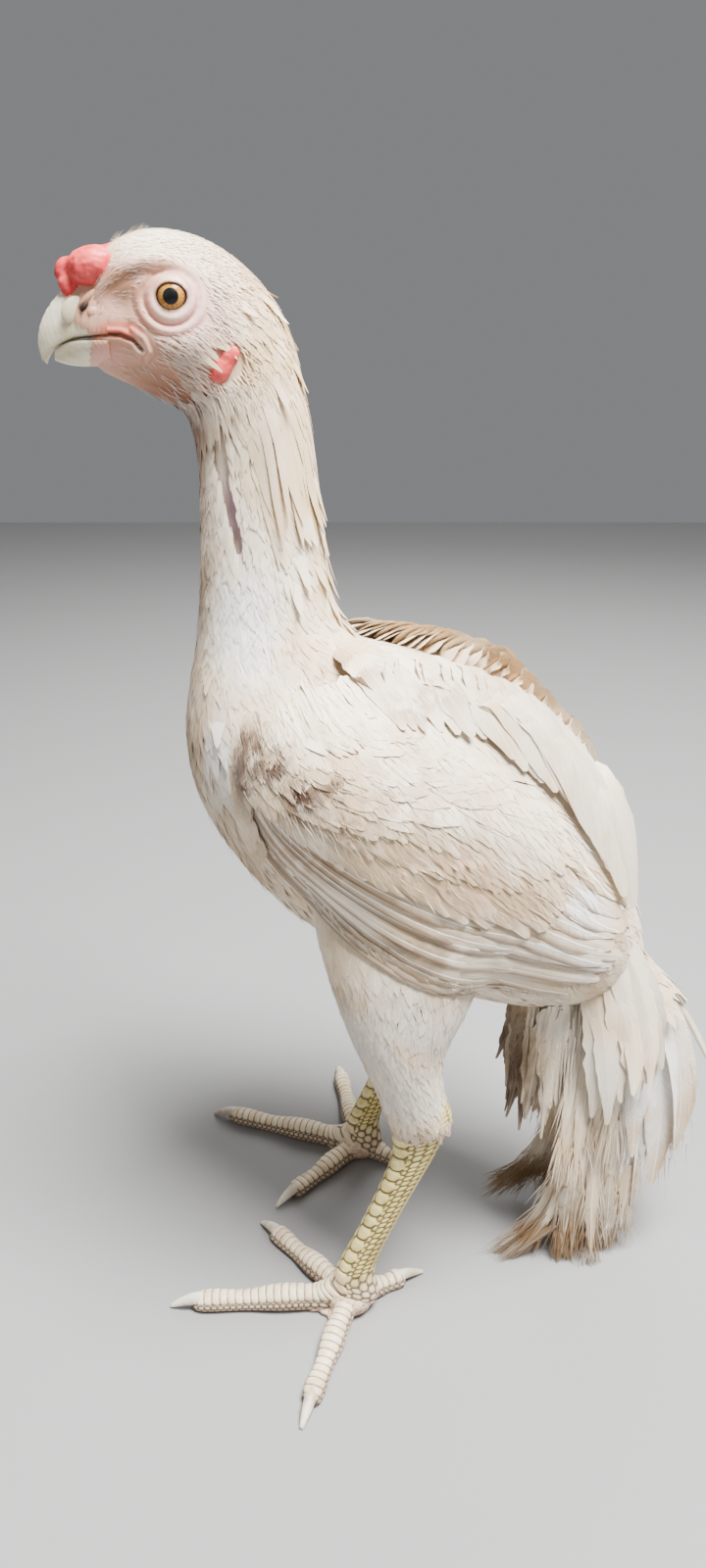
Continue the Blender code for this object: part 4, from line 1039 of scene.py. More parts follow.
def fleshPiece(name, bm, material, facts, node):  # lumps grown together
    obj = finish(toMesh(bm, name), name, material, smooth=0)
    remesh = obj.modifiers.new("skin", "REMESH")
    remesh.mode = "VOXEL"
    remesh.voxel_size = facts["voxel"]
    soft = obj.modifiers.new("soft", "SMOOTH")
    soft.factor = 0.5
    soft.iterations = facts["soft"]
    graph = bpy.context.evaluated_depsgraph_get()
    mesh = bpy.data.meshes.new_from_object(obj.evaluated_get(graph))
    obj.modifiers.clear()
    obj.data = mesh
    mesh.materials.clear()
    mesh.materials.append(material)
    grainSize, height = facts["knobs"]
    for vert in mesh.vertices:
        push = noise.noise(vert.co * grainSize) * height + noise.noise(vert.co * grainSize * 3) * height * 0.4
        vert.co += vert.normal * push
        vert.co.z = max(vert.co.z, 0.0)
    mesh.shade_smooth()
    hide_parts(node)
    return obj


def makeComb():
    bm = bmesh.new()
    for x, z, y, radius, longer in combForm["bulbs"]:
        for side in (-1, 1) if y else (1,):
            lump(bm, (x, side * y, z), (radius * longer, radius, radius), combForm["slope"])
    lump(bm, (-0.1645, 0.0, 0.5765), (0.0135, 0.0090, 0.0062), -30)
    facts = {"voxel": combForm["voxel"], "soft": 34, "knobs": (170.0, 0.0006)}
    fleshPiece("combLumps", bm, combFlesh, facts, "comb")


def makeLobe(label, side):
    bm = bmesh.new()
    lump(bm, (-0.1028, side * 0.0215, 0.5350), (0.0050, 0.0024, 0.0070), 40)
    lump(bm, (-0.0985, side * 0.0213, 0.5405), (0.0042, 0.0021, 0.0064), 40)
    facts = {"voxel": 0.0005, "soft": 14, "knobs": (300.0, 0.0003)}
    fleshPiece(f"earlobe_{label}_skin", bm, lobeFlesh, facts, f"earlobe_{label}")


# painted shade for the inside of the nostril's opening
def nostrilShadeMaterial():
    material, tree, shader = newMaterial("nostrilShade", Roughness=0.8)
    place = objectPlace(tree)
    shade = mixColour(tree, grain(tree, place, 300), rgb(30, 16, 14), rgb(64, 34, 28))
    tree.links.new(shade, shader.inputs["Base Color"])
    return material


def makeNostrils():  # on each side a skin flap over a dark slit, painted shade that stands in for the nostril's opening, and a pale horny lid before it
    flaps, slits, lids = bmesh.new(), bmesh.new(), bmesh.new()
    for side in sides.values():
        lump(flaps, (-0.1650, side * 0.0120, 0.5668), (0.0062, 0.0018, 0.0018), -40)
        lump(flaps, (-0.1622, side * 0.0140, 0.5606), (0.0034, 0.0014, 0.0026), -20)
        lump(lids, (-0.1730, side * 0.0104, 0.5616), (0.0068, 0.0013, 0.0050), -50)
        lump(slits, (-0.1668, side * 0.0126, 0.5632), (0.0030, 0.0020, 0.0016), -50)
    for name, bm, material, slotName in (
        ("nostrilFlaps", flaps, birdSkin, "face_skin"),
        ("nostrilSlits", slits, nostrilShadeMaterial(), "face_skin"),
        ("nostrilLids", lids, beakHorn, "horn"),
    ):
        mesh = toMesh(bm, name)
        for layer in ("cere", *skinLayers):
            setLayer(mesh, layer, np.zeros(len(mesh.vertices)))
        piece = finish(mesh, name, material, smooth=0)


beakHalf("beakUpper", "beak_upper", beakForm["upper"], beakForm["upperWaist"])
beakHalf("beakLower", "beak_lower", beakForm["lower"], beakForm["lowerWaist"])
makeComb()
for label, side in sides.items():
    makeLobe(label, side)
makeNostrils()
print("beak, comb and lobes made")


# Legs: each shank runs on over the foot into the middle toe, and the other toes join it
legForm = {
    "shank": [  # front x, front z, rear x, rear z, half width, y
        (-0.0150, 0.1420, 0.0130, 0.1480, 0.0125, 0.0668),
        (-0.0168, 0.1260, 0.0155, 0.1360, 0.0126, 0.0670),
        (-0.0175, 0.1060, 0.0080, 0.1150, 0.0094, 0.0680),
        (-0.0330, 0.0640, -0.0120, 0.0710, 0.0080, 0.0700),
        (-0.0490, 0.0290, -0.0270, 0.0330, 0.0086, 0.0725),
    ],
    "pads": {"left": (-0.0420, -0.0730), "right": (-0.0360, 0.0650)},
    "padSize": (0.0150, 0.0140, 0.0110),
    "padHeight": 0.0090,
    "toes": {
        "left": [(-0.1510, -0.0750, 0.0074, 0.0052), (-0.0680, -0.1570, 0.0070, 0.0048),
                 (-0.1010, -0.0060, 0.0068, 0.0048), (0.0040, -0.0480, 0.0062, 0.0046)],
        "right": [(-0.1450, 0.1060, 0.0074, 0.0052), (-0.0520, 0.1630, 0.0070, 0.0048),
                  (-0.0920, 0.0080, 0.0068, 0.0048), (0.0100, 0.0420, 0.0062, 0.0046)],
    },
    "clawLength": 0.0145,
    "platePitch": 0.0086,
    "plateWidth": 0.0096,
    "cellSize": 0.0038,
    "toePitch": 0.0047,
    "toeRun": 0.094,
    "scuteRise": 0.0012,
    "around": 76,
    "ringsPerMetre": 1900,
    "girth": 0.0086,  # radius by which an angle becomes a width
}


def cellEdge(across, along):  # how far inside a six-sided cell, in a staggered pattern
    column = np.floor(across)
    nearest = np.full((3, 3) + np.shape(across), 9.0)
    for i in (-1, 0, 1):
        for j in (-1, 0, 1):
            stagger = 0.5 * ((column + i) % 2)
            middle = np.floor(along - stagger) + j + 0.5 + stagger
            nearest[i + 1, j + 1] = np.hypot(across - column - i - 0.5, along - middle)
    order = np.sort(nearest.reshape(9, -1), axis=0)
    return (order[1] - order[0]).reshape(np.shape(across))


def scutePattern(turn, metres, onToe):  # turn 90 degrees is the front or the top
    front = np.arctan2(np.cos(turn), np.sin(turn))
    wide = front * legForm["girth"] / legForm["plateWidth"]
    plates = cellEdge(wide, metres / legForm["platePitch"])
    big = np.clip(plates * 2.6, 0, 1) ** 0.7 * (0.75 + 0.25 * ((metres / legForm["platePitch"]) % 1.0))
    cell = legForm["cellSize"]
    small = np.clip(cellEdge(front * legForm["girth"] / cell, metres / cell) * 2.4, 0, 1) ** 0.7
    rows = (metres + 0.0006 * np.cos(front * 1.5)) / legForm["toePitch"] % 1.0
    band = np.clip(1 - np.abs(2 * rows - 1) ** 5, 0, 1) * (0.72 + 0.28 * rows)
    band = band * (1 - np.clip(np.abs(front) / math.radians(70), 0, 1) ** 8)
    shank = np.where(np.abs(wide) < 1.0, big, small * 0.62)
    toe = np.where(np.abs(front) < math.radians(70), band, small * 0.55)
    return np.where(onToe, toe, shank)


def ringPoint(front, rear, half, across, turn, lift):
    middle, reach = (front + rear) / 2, (front - rear) / 2
    length = np.linalg.norm(reach, axis=1, keepdims=True)
    rise, run = np.sin(turn)[:, None], np.cos(turn)[:, None]
    out = unit(reach / length * rise / length + across * run / half[:, None])
    spot = middle + reach * rise + across * half[:, None] * run + out * lift[:, None]
    spot[:, 2] = np.maximum(spot[:, 2], 0.0)
    return spot


def padPlace(label):
    return np.array([*legForm["pads"][label], 0.0])


def toeStations(label, toe, first):
    tipX, tipY, thick, thin = legForm["toes"][label][toe]
    pad, tip = padPlace(label), np.array([tipX, tipY, 0.0])
    way = unit(tip - pad)
    length = np.linalg.norm(tip - pad) - legForm["clawLength"]
    rows = []
    for share in [*np.linspace(first, 0.95, 9), 1.0, 1.02]:
        radius = thick + (thin - thick) * share
        radius *= math.sqrt(max(0.05, 1 - max(0.0, (share - 0.93) / 0.095) ** 2))
        knuckle = 0.0006 * math.cos(share * 14)
        arch = 0.0035 * math.sin(math.pi * min(1.0, share * 1.4)) * (1 - share) if share < 1 else 0.0
        low = pad + way * length * share
        high = low + np.array([0, 0, radius * 1.80 + arch + knuckle])
        if share > 0.96:
            low[2] = (1 - radius / thin) * 0.0030
            high[2] += low[2]
        rows.append(np.concatenate([high, low, [radius * 0.98 + knuckle], [-way[1], way[0], 0.0]]))
    return rows


def legStations(label):
    side = sides[label]
    shift = np.array(legForm["pads"][label]) - np.array((legForm["pads"]["left"][0], side * 0.0730))
    rows = []
    table = legForm["shank"]
    for k, (frontX, frontZ, rearX, rearZ, half, y) in enumerate(table):
        share = k / (len(table) - 1)
        front = np.array([frontX + shift[0] * share, side * y + shift[1] * share, frontZ])
        rear = np.array([rearX + shift[0] * share, side * y + shift[1] * share, rearZ])
        rows.append(np.concatenate([front, rear, [half], [0.0, side, 0.0]]))
    toe = toeStations(label, 0, 0.24)
    across = toe[0][7:10] * (1 if toe[0][8] * side > 0 else -1)
    pad = padPlace(label)
    way = unit(toe[1][3:6] - toe[0][3:6])
    bend = [(0.0080, 0.0225, -0.0170, 0.0120, 0.0104), (0.0150, 0.0168, -0.0100, 0.0030, 0.0094)]
    for forward, high, backward, low, half in bend:
        front = pad + way * forward + np.array([0, 0, high])
        rear = pad + way * backward + np.array([0, 0, low])
        rows.append(np.concatenate([front, rear, [half], across]))
    for row in toe:
        row[7:10] = across
    return rows + toe


def scaledTube(name, stations, isLeg):
    rows = np.array(stations)
    middle = (rows[:, 0:3] + rows[:, 3:6]) / 2
    steps = np.linalg.norm(np.diff((rows[:, 0:3] + middle) / 2, axis=0), axis=1)
    metres = np.concatenate([[0], np.cumsum(steps)])
    rings = int(metres[-1] * legForm["ringsPerMetre"])
    bm, turn, along = flatGrid(rings, legForm["around"])
    length = along * metres[-1]
    row = between(rows, np.interp(length, metres, np.arange(len(rows))))
    row[:, 6] = np.maximum(row[:, 6], 0.0004)
    standing = (row[:, 2] - row[:, 5]) / np.linalg.norm(row[:, 0:3] - row[:, 3:6], axis=1)
    toGo = metres[-1] - length
    onToe = toGo < legForm["toeRun"] if isLeg else np.full(len(toGo), True)
    plate = scutePattern(turn, toGo, onToe) * np.clip(toGo / 0.004, 0, 1)
    under = np.clip(-np.sin(turn) * 1.6, 0, 1) * np.clip(standing, 0, 1)
    spots = ringPoint(row[:, 0:3], row[:, 3:6], row[:, 6], row[:, 7:10], turn, plate * legForm["scuteRise"])
    plates, unders = bm.verts.layers.float.new("plate"), bm.verts.layers.float.new("under")
    for vert, spot, rise, low in zip(bm.verts, spots, plate, under):
        vert.co = spot
        vert[plates] = rise
        vert[unders] = low
    closeTube(bm)
    tube = finish(toMesh(bm, name), name, legScales, smooth=0)
    return tube


def makeFootSkin(label):  # the ball of the foot and the webs, one skin under the toes
    pad = Vector((*legForm["pads"][label], 0.0))
    bm = bmesh.new()
    lump(bm, pad + Vector((0, 0, legForm["padHeight"])), legForm["padSize"], 0)
    reach = [Vector((*toe[:2], 0.0)) - pad for toe in legForm["toes"][label]]
    for first, second, far in ((0, 1, 0.030), (0, 2, 0.026), (1, 3, 0.013), (2, 3, 0.013)):
        a, b = reach[first].normalized(), reach[second].normalized()
        for share in (0.12, 0.3, 0.5, 0.7, 0.88):
            way = a * (1 - share) + b * share
            dip = 1 - 0.42 * math.sin(math.pi * share)
            for step in (0.35, 0.65, 0.95):
                size = 0.0062 * (1.15 - step * 0.55)
                spot = pad + way * far * dip * step + Vector((0, 0, size * 0.55))
                lump(bm, spot, (size, size, size * 0.72), 0)
    facts = {"voxel": 0.0011, "soft": 10, "knobs": (900.0, 0.00025)}
    foot = fleshPiece(f"footSkin_{label}", bm, legScales, facts, f"foot_{label}")
    plate, under = [], []
    for vert in foot.data.vertices:
        distance = noise.voronoi(vert.co * 420.0)[0]
        plate.append(min(1.0, (distance[1] - distance[0]) * 2.2))
        under.append(min(1.0, max(0.0, 0.5 - vert.normal.z)))
    setLayer(foot.data, "plate", 0.35 + 0.65 * np.array(plate))
    setLayer(foot.data, "under", 0.35 + 0.65 * np.array(under))


def makeClaw(label, toe):
    tipX, tipY, thick, thin = legForm["toes"][label][toe]
    tip = np.array([tipX, tipY, 0.0])
    way = unit(tip - padPlace(label))
    across = np.array([-way[1], way[0], 0.0])
    buried = 0.0050  # of the claw's length, inside the toe
    length = legForm["clawLength"] + buried
    start = tip - way * length

    def points(along, turn):
        size = thin * 0.80 * (1 - 0.70 * along**2.2)
        height = thin * 0.55 * (1 - along**1.6) + size
        middle = start + way * along[:, None] * length + np.array([0, 0, 1]) * height[:, None]
        lower = np.where(np.sin(turn) < 0, 0.72, 1.0)
        spot = middle + across * (np.cos(turn) * size * 0.92)[:, None]
        spot[:, 2] = np.maximum(spot[:, 2] + np.sin(turn) * size * lower, 0.0)
        return spot

    bm = gridTube(26, 24, points)
    claw = finish(toMesh(bm, "claw"), f"clawHorn_{label}_{toeNames[toe]}", clawHorn, smooth=0)
    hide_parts(f"claw_{label}_{toeNames[toe]}")


for label in sides:
    leg = scaledTube(f"legScales_{label}", legStations(label), True)
    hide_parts(f"shank_{label}", f"toe_{label}_middle")
    for toe in (1, 2, 3):
        stations = toeStations(label, toe, 0.10)
        tube = scaledTube(f"toeScales_{label}_{toeNames[toe]}", stations, False)
        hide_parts(f"toe_{label}_{toeNames[toe]}")
    makeFootSkin(label)
    for toe in range(4):
        makeClaw(label, toe)
print("legs made")


# Plumage. A vane is a thin closed lens of rows along it and columns across it.
outlines = {
    "round": ([0, 0.12, 0.45, 0.78, 0.92, 1], [0.40, 0.72, 1.0, 0.98, 0.84, 0.56]),
    "lance": ([0, 0.15, 0.40, 0.70, 0.90, 1], [0.45, 0.80, 1.0, 0.78, 0.42, 0.10]),
    "flight": ([0, 0.10, 0.40, 0.85, 0.96, 1], [0.30, 0.70, 0.96, 1.0, 0.86, 0.60]),
    "worn": ([0, 0.10, 0.40, 0.75, 0.90, 1], [0.30, 0.80, 1.0, 0.96, 0.80, 0.52]),
    "strand": ([0, 0.5, 1], [1.0, 0.8, 0.12]),
}
acrossVane = {
    3: np.array([-1.0, 0.0, 1.0]),
    5: np.array([-1.0, -0.55, 0.0, 0.55, 1.0]),
    7: np.array([-1.0, -0.70, -0.32, 0.0, 0.32, 0.70, 1.0]),
}


def vanePiece(name, top, low, root, tint, chart, material, up):
    many, rows, columns = top.shape[:3]
    edge = np.arange(rows * columns).reshape(rows, columns)
    under = edge.copy()
    inner = (rows - 2) * (columns - 2)
    under[1:-1, 1:-1] = rows * columns + np.arange(inner).reshape(rows - 2, columns - 2)
    faces = []
    for sheet, flip in ((edge, False), (under, True)):
        quad = np.stack([sheet[:-1, :-1], sheet[:-1, 1:], sheet[1:, 1:], sheet[1:, :-1]], -1).reshape(-1, 4)
        faces.append(quad[:, ::-1] if flip else quad)
    template = np.concatenate(faces)
    each = rows * columns + inner
    points = np.concatenate([top.reshape(many, -1, 3), low[:, 1:-1, 1:-1].reshape(many, -1, 3)], 1)
    quads = (template[None] + (np.arange(many) * each)[:, None, None]).reshape(-1, 4)
    points = points.reshape(-1, 3)
    across = top[:, 1:, 1:] - top[:, :-1, :-1]
    other = top[:, 1:, :-1] - top[:, :-1, 1:]
    facing = (np.cross(across, other).mean((1, 2)) * up).sum(-1)
    if np.median(facing) < 0:
        quads = quads[:, ::-1]
    mesh = bpy.data.meshes.new(name)
    mesh.vertices.add(len(points))
    mesh.vertices.foreach_set("co", points.astype(np.float32).ravel())
    mesh.loops.add(quads.size)
    mesh.loops.foreach_set("vertex_index", quads.astype(np.int32).ravel())
    mesh.polygons.add(len(quads))
    mesh.polygons.foreach_set("loop_start", (np.arange(len(quads)) * 4).astype(np.int32))
    mesh.update(calc_edges=True)
    mesh.validate()
    u = np.broadcast_to((acrossVane[columns] + 1) / 2, (rows, columns))
    v = np.broadcast_to(np.linspace(0, 1, rows)[:, None], (rows, columns))
    local = np.stack([u, v], -1)
    local = np.concatenate([local.reshape(-1, 2), local[1:-1, 1:-1].reshape(-1, 2)])
    setMap(mesh, "Vane", np.tile(local, (many, 1)))
    patch = (local - 0.5) * 0.003
    setMap(mesh, "OFBake", (chart[:, None] + patch[None]).reshape(-1, 2))
    setLayer(mesh, "root", np.repeat(root, each, axis=0))
    setLayer(mesh, "tint", np.repeat(tint, each))
    coat = finish(mesh, name, material, smooth=70)
    print(name, many, "vanes", len(quads) * 2, "triangles")
    return coat


def vaneShape(many, shape):
    rows, columns, outline = shape["rows"], shape["columns"], shape["outline"]
    u = acrossVane[columns][None, None, :]
    v = np.linspace(0, 1, rows)[None, :, None]
    width = np.interp(v, *outlines[outline])
    outer = np.abs(u) > 0.5
    ragged = 1 + shape["fray"] * rng.uniform(-1, 0.6, (many, rows, columns)) * outer
    worn = 1 - shape.get("tipFray", 0.0) * rng.uniform(0, 1, (many, 1, columns)) * outer
    rounded = 1 - (0.0 if outline in ("lance", "strand") else 0.22) * u**2
    return v * worn * rounded, u * width * ragged


def layVanes(name, surface, roots, shape, chartAt, material):  # vanes that follow a surface from their roots
    place, angle = roots["place"], roots["angle"]
    many = len(place)
    v, u = vaneShape(many, shape)
    zero = np.zeros(many)
    step = 0.02
    alongWay = surface(place + step, angle, zero) - surface(place - step, angle, zero)
    turnWay = surface(place, angle + step, zero) - surface(place, angle - step, zero)
    leastAlong, leastTurn = 0.0015, 0.004  # metres to a row and to a radian, where the form runs to a point
    alongScale = np.maximum(np.linalg.norm(alongWay, axis=1) / (2 * step), leastAlong)[:, None, None]
    turnScale = np.maximum(np.linalg.norm(turnWay, axis=1) / (2 * step), leastTurn)[:, None, None]
    length, half, yaw = (roots[key][:, None, None] for key in ("length", "half", "yaw"))
    lean = yaw + roots["bend"][:, None, None] * v
    forward = length * v * np.cos(lean) - u * half * np.sin(lean)
    sideways = length * v * np.sin(lean) + u * half * np.cos(lean)
    where = place[:, None, None] + shape["flow"] * forward / alongScale
    around = angle[:, None, None] + sideways / turnScale
    low, high = roots["low"][:, None, None], roots["high"][:, None, None]
    crown = shape["crown"] * (1 - np.abs(u)) * half
    lift = low * (1 - v) ** 4 - shape["shingle"] * (1 - v) + high * v**2 + crown
    top = surface(where, around, lift)
    under = surface(where, around, lift - shape["thick"])
    root = surface(place, angle, zero)
    up = surface(place, angle, zero + 0.001) - root
    return vanePiece(name, top, under, root, roots["tint"], chartAt(place, angle), material, up)


def scatter(surface, start, stop, rowGap, sideGap, flow):  # staggered rows of roots
    places, angles = [], []
    place, row = start, 0
    count, ahead = 25, 0.05  # points round the form, and a short step along it
    samples, flat = np.linspace(0, 2 * math.pi, count), np.zeros(count)
    while (place - stop) * flow < 0:
        ring = surface(np.full(count, place), samples, flat)
        length = np.linalg.norm(np.diff(ring, axis=0), axis=1)
        arc = np.concatenate([[0], np.cumsum(length)])
        many = max(3, int(arc[-1] / sideGap))
        spots = (np.arange(many) + 0.5 * (row % 2) + rng.uniform(-0.3, 0.3, many)) / many % 1.0
        angles.append(np.interp(spots * arc[-1], arc, samples))
        nextRing = surface(np.full(count, place + ahead), samples, flat)
        scale = np.linalg.norm(nextRing - ring, axis=1).mean() / ahead
        places.append(place + rng.uniform(-0.35, 0.35, many) * rowGap / scale)
        place += flow * rowGap / scale
        row += 1
    return np.concatenate(places), np.concatenate(angles)


def uniform(low, high, many):
    return rng.uniform(low, high, many)


def chartAcross(angle):
    return 0.02 + 0.96 * (angle % (2 * math.pi)) / (2 * math.pi)


def bodyChart(place, angle):
    return np.stack([chartAcross(angle), 0.04 + 0.92 * (place + 1) / 22], -1)


def thighChart(place, angle):
    return np.stack([chartAcross(angle), 0.05 + 0.9 * place / 5], -1)


narrowVane = {"columns": 3, "fray": 0.12, "crown": 0.06, "shingle": 0.0004, "thick": 0.00016, "flow": -1}
roundVane = {"rows": 6, "columns": 5, "outline": "round", "fray": 0.12, "tipFray": 0.12, "crown": 0.025,
             "shingle": 0.0005, "thick": 0.00016, "flow": -1}
singleBarb = {"rows": 4, "columns": 3, "outline": "strand", "fray": 0.0, "crown": 0.3, "shingle": 0.0002,
              "thick": 0.00016, "flow": -1}


def awayFromEar(spot, radius):
    return np.hypot(spot[:, 0] + 0.1018, spot[:, 2] - 0.5400) > radius


def keepRoots(place, angle, keep):
    return place[keep], angle[keep]


def underWing(spot):
    along, across = armPlace(spot[:, 0], spot[:, 2])
    level = np.interp(spot[:, 0], [-0.090, -0.07, -0.05, 0.0, 0.10], [0.330, 0.294, 0.272, 0.256, 0.236])
    inside = (along > -0.050) & (along < 0.120) & (across < 0.038) & (spot[:, 2] > level)
    return (np.abs(spot[:, 1]) > 0.036) & inside


def faceCover(spot):  # how thickly the face is covered, from none to full
    x, z = spot[:, 0], spot[:, 2]
    eyeX, eyeZ = headForm["eye"]
    bare = ((x + 0.1400) / 0.0390) ** 2 + ((z - 0.5500) / 0.0300) ** 2
    cover = np.interp(bare, [0.60, 1.10], [0.14, 1.0])
    rear = np.clip((x + 0.138) / 0.016, 0, 1) * np.clip((0.5620 - z) / 0.010, 0, 1)
    cover = np.maximum(cover, 0.85 * rear)
    low = np.clip((0.5440 - z) / 0.010, 0, 1) * np.clip((-0.104 - x) / 0.026, 0, 1)
    cover = cover * (1 - 0.75 * low)
    cover = cover * np.interp(np.hypot((x - eyeX) / 1.05, z - eyeZ), [0.0145, 0.0185], [0, 1])
    cover = cover * np.interp(lineDistance(x, z, headForm["mouth"]), [0.0040, 0.0080], [0, 1])
    throat = np.clip((-0.092 - x) / 0.012, 0, 1) * np.clip((0.5340 - z) / 0.008, 0, 1)
    return np.where(x < -0.163, 0.0, cover * (1 - 0.5 * throat))


def headCoat():  # fine short feathers, shortest towards the beak
    place, angle = scatter(headSurface, 20.4, 14.2, 0.0013, 0.00105, -1)
    spot = bodySurface(place, angle, np.zeros(len(place)))
    keep = (rng.random(len(place)) < faceCover(spot)) & awayFromEar(spot, 0.0096)
    place, angle, spot = place[keep], angle[keep], spot[keep]
    many = len(place)
    size = np.interp(place, [14.2, 16, 19, 20.6], [0.0100, 0.0068, 0.0050, 0.0034]) * uniform(0.75, 1.2, many)
    tuft = (np.hypot(spot[:, 0] + 0.150, spot[:, 2] - 0.596) < 0.012) & (rng.random(many) < 0.2)
    size = size * (1 + 0.5 * tuft)
    roots = {
        "place": place, "angle": angle, "length": size, "half": size * 0.024 + 0.00016,
        "yaw": uniform(-0.25, 0.25, many) + 0.25 * np.cos(angle), "bend": uniform(-0.3, 0.3, many),
        "tint": rng.random(many), "low": -coatDepth(place) * 0.7 - 0.0003,
        "high": 0.0002 + 0.0004 * rng.random(many) + 0.0026 * tuft,
    }
    shape = {**singleBarb, "rows": 3, "fray": 0.1, "thick": 0.00012}
    layVanes("headCoat", headSurface, roots, shape, bodyChart, headPlumage)


def partingSide(spot):  # behind or before the bare parting on the left of the neck
    line = np.interp(spot[:, 2], [0.44, 0.47, 0.49, 0.52], [-0.0935, -0.1003, -0.1043, -0.1075])
    return spot[:, 0] - line


def neckUnderCoat():  # short feathers that cover the whole neck
    place, angle = scatter(bodySurface, 15.2, 8.8, 0.0042, 0.0026, -1)
    spot = bodySurface(place, angle, np.zeros(len(place)))
    beside = partingSide(spot)
    parting = (spot[:, 1] < -0.006) & (np.abs(beside) < 0.0042)
    parting = parting & (spot[:, 2] > 0.452) & (spot[:, 2] < 0.512)
    throat = (spot[:, 0] < -0.098) & (spot[:, 2] > 0.500) & (rng.random(len(place)) < 0.55)
    place, angle = keepRoots(place, angle, ~parting & ~throat & awayFromEar(spot, 0.0125))
    many = len(place)
    size = np.interp(place, [8.8, 11, 13, 15.2], [0.030, 0.024, 0.016, 0.010]) * uniform(0.75, 1.15, many)
    roots = {
        "place": place, "angle": angle, "length": size,
        "half": np.interp(size, [0.01, 0.03], [0.0017, 0.0036]),
        "yaw": uniform(-0.10, 0.10, many), "bend": uniform(-0.2, 0.2, many), "tint": rng.random(many),
        "low": -coatDepth(place) * 0.6, "high": -0.0002 + 0.0005 * rng.random(many),
    }
    shape = {**narrowVane, "rows": 6, "outline": "worn"}
    layVanes("neckUnderCoat", bodySurface, roots, shape, bodyChart, hacklePlumage)


def hackles():  # long narrow feathers from the nape that sweep back over the sides of the neck
    place, angle = scatter(bodySurface, 16.6, 10.2, 0.0044, 0.0026, -1)
    spot = bodySurface(place, angle, np.zeros(len(place)))
    front = np.interp(place, [10.2, 12, 14, 16.6], [0.60, 0.30, -0.10, -0.35])
    front = np.where(spot[:, 1] < 0, front, front - 0.2)
    keep = np.sin(angle) > front
    keep &= awayFromEar(spot, 0.0125)
    keep &= (faceCover(spot) > 0.8) | (spot[:, 2] < 0.52)
    place, angle, spot = place[keep], angle[keep], spot[keep]
    many = len(place)
    size = np.interp(place, [10.2, 13, 15, 16.6], [0.050, 0.046, 0.034, 0.016]) * uniform(0.75, 1.15, many)
    loose = rng.random(many) < 0.05
    sweep = np.interp(place, [10, 13, 16], [0.06, 0.17, 0.20]) * np.cos(angle)
    roots = {
        "place": place, "angle": angle, "length": size,
        "half": np.interp(size, [0.012, 0.05], [0.0014, 0.0039]),
        "yaw": sweep + uniform(-0.06, 0.06, many), "bend": uniform(-0.10, 0.10, many),
        "tint": rng.random(many),
        "low": -coatDepth(place) * 0.5, "high": 0.0004 + 0.0004 * rng.random(many) + 0.0026 * loose,
    }
    shape = {**narrowVane, "rows": 9, "outline": "lance", "fray": 0.14}
    layVanes("neckHackles", bodySurface, roots, shape, bodyChart, hacklePlumage)


def bodyCoat(name, first, last):
    place, angle = scatter(bodySurface, first, last, 0.0064, 0.0056, -1)
    spot = bodySurface(place, angle, np.zeros(len(place)))
    place, angle = keepRoots(place, angle, ~underWing(spot))
    many = len(place)
    back = np.clip(np.sin(angle), 0, 1)
    size = np.interp(place, [0, 3, 7, 9.8], [0.046, 0.042, 0.034, 0.030]) * (0.72 + 0.35 * back)
    size = size * uniform(0.8, 1.2, many)
    loose = (rng.random(many) < 0.06) * rng.random(many)
    roots = {
        "place": place, "angle": angle, "length": size, "half": size * (0.20 - 0.05 * back),
        "yaw": uniform(-0.12, 0.12, many), "bend": uniform(-0.2, 0.2, many), "tint": rng.random(many),
        "low": np.full(many, -0.0045), "high": 0.0001 + 0.0004 * rng.random(many) + 0.0020 * loose,
    }
    layVanes(name, bodySurface, roots, roundVane, bodyChart, bodyPlumage)


def bodyWisps():  # single barbs that break up the feather edges
    place, angle = scatter(bodySurface, 11.5, -0.1, 0.0046, 0.0032, -1)
    spot = bodySurface(place, angle, np.zeros(len(place)))
    place, angle = keepRoots(place, angle, ~underWing(spot))
    many = len(place)
    loose = (rng.random(many) < 0.07) * rng.random(many)
    roots = {
        "place": place, "angle": angle, "length": uniform(0.012, 0.026, many),
        "half": uniform(0.0002, 0.0004, many),
        "yaw": uniform(-0.3, 0.3, many), "bend": uniform(-0.4, 0.4, many), "tint": rng.random(many),
        "low": np.full(many, -0.0008), "high": uniform(0.0003, 0.0009, many) + 0.0030 * loose,
    }
    layVanes("bodyWisps", bodySurface, roots, singleBarb, bodyChart, bodyPlumage)


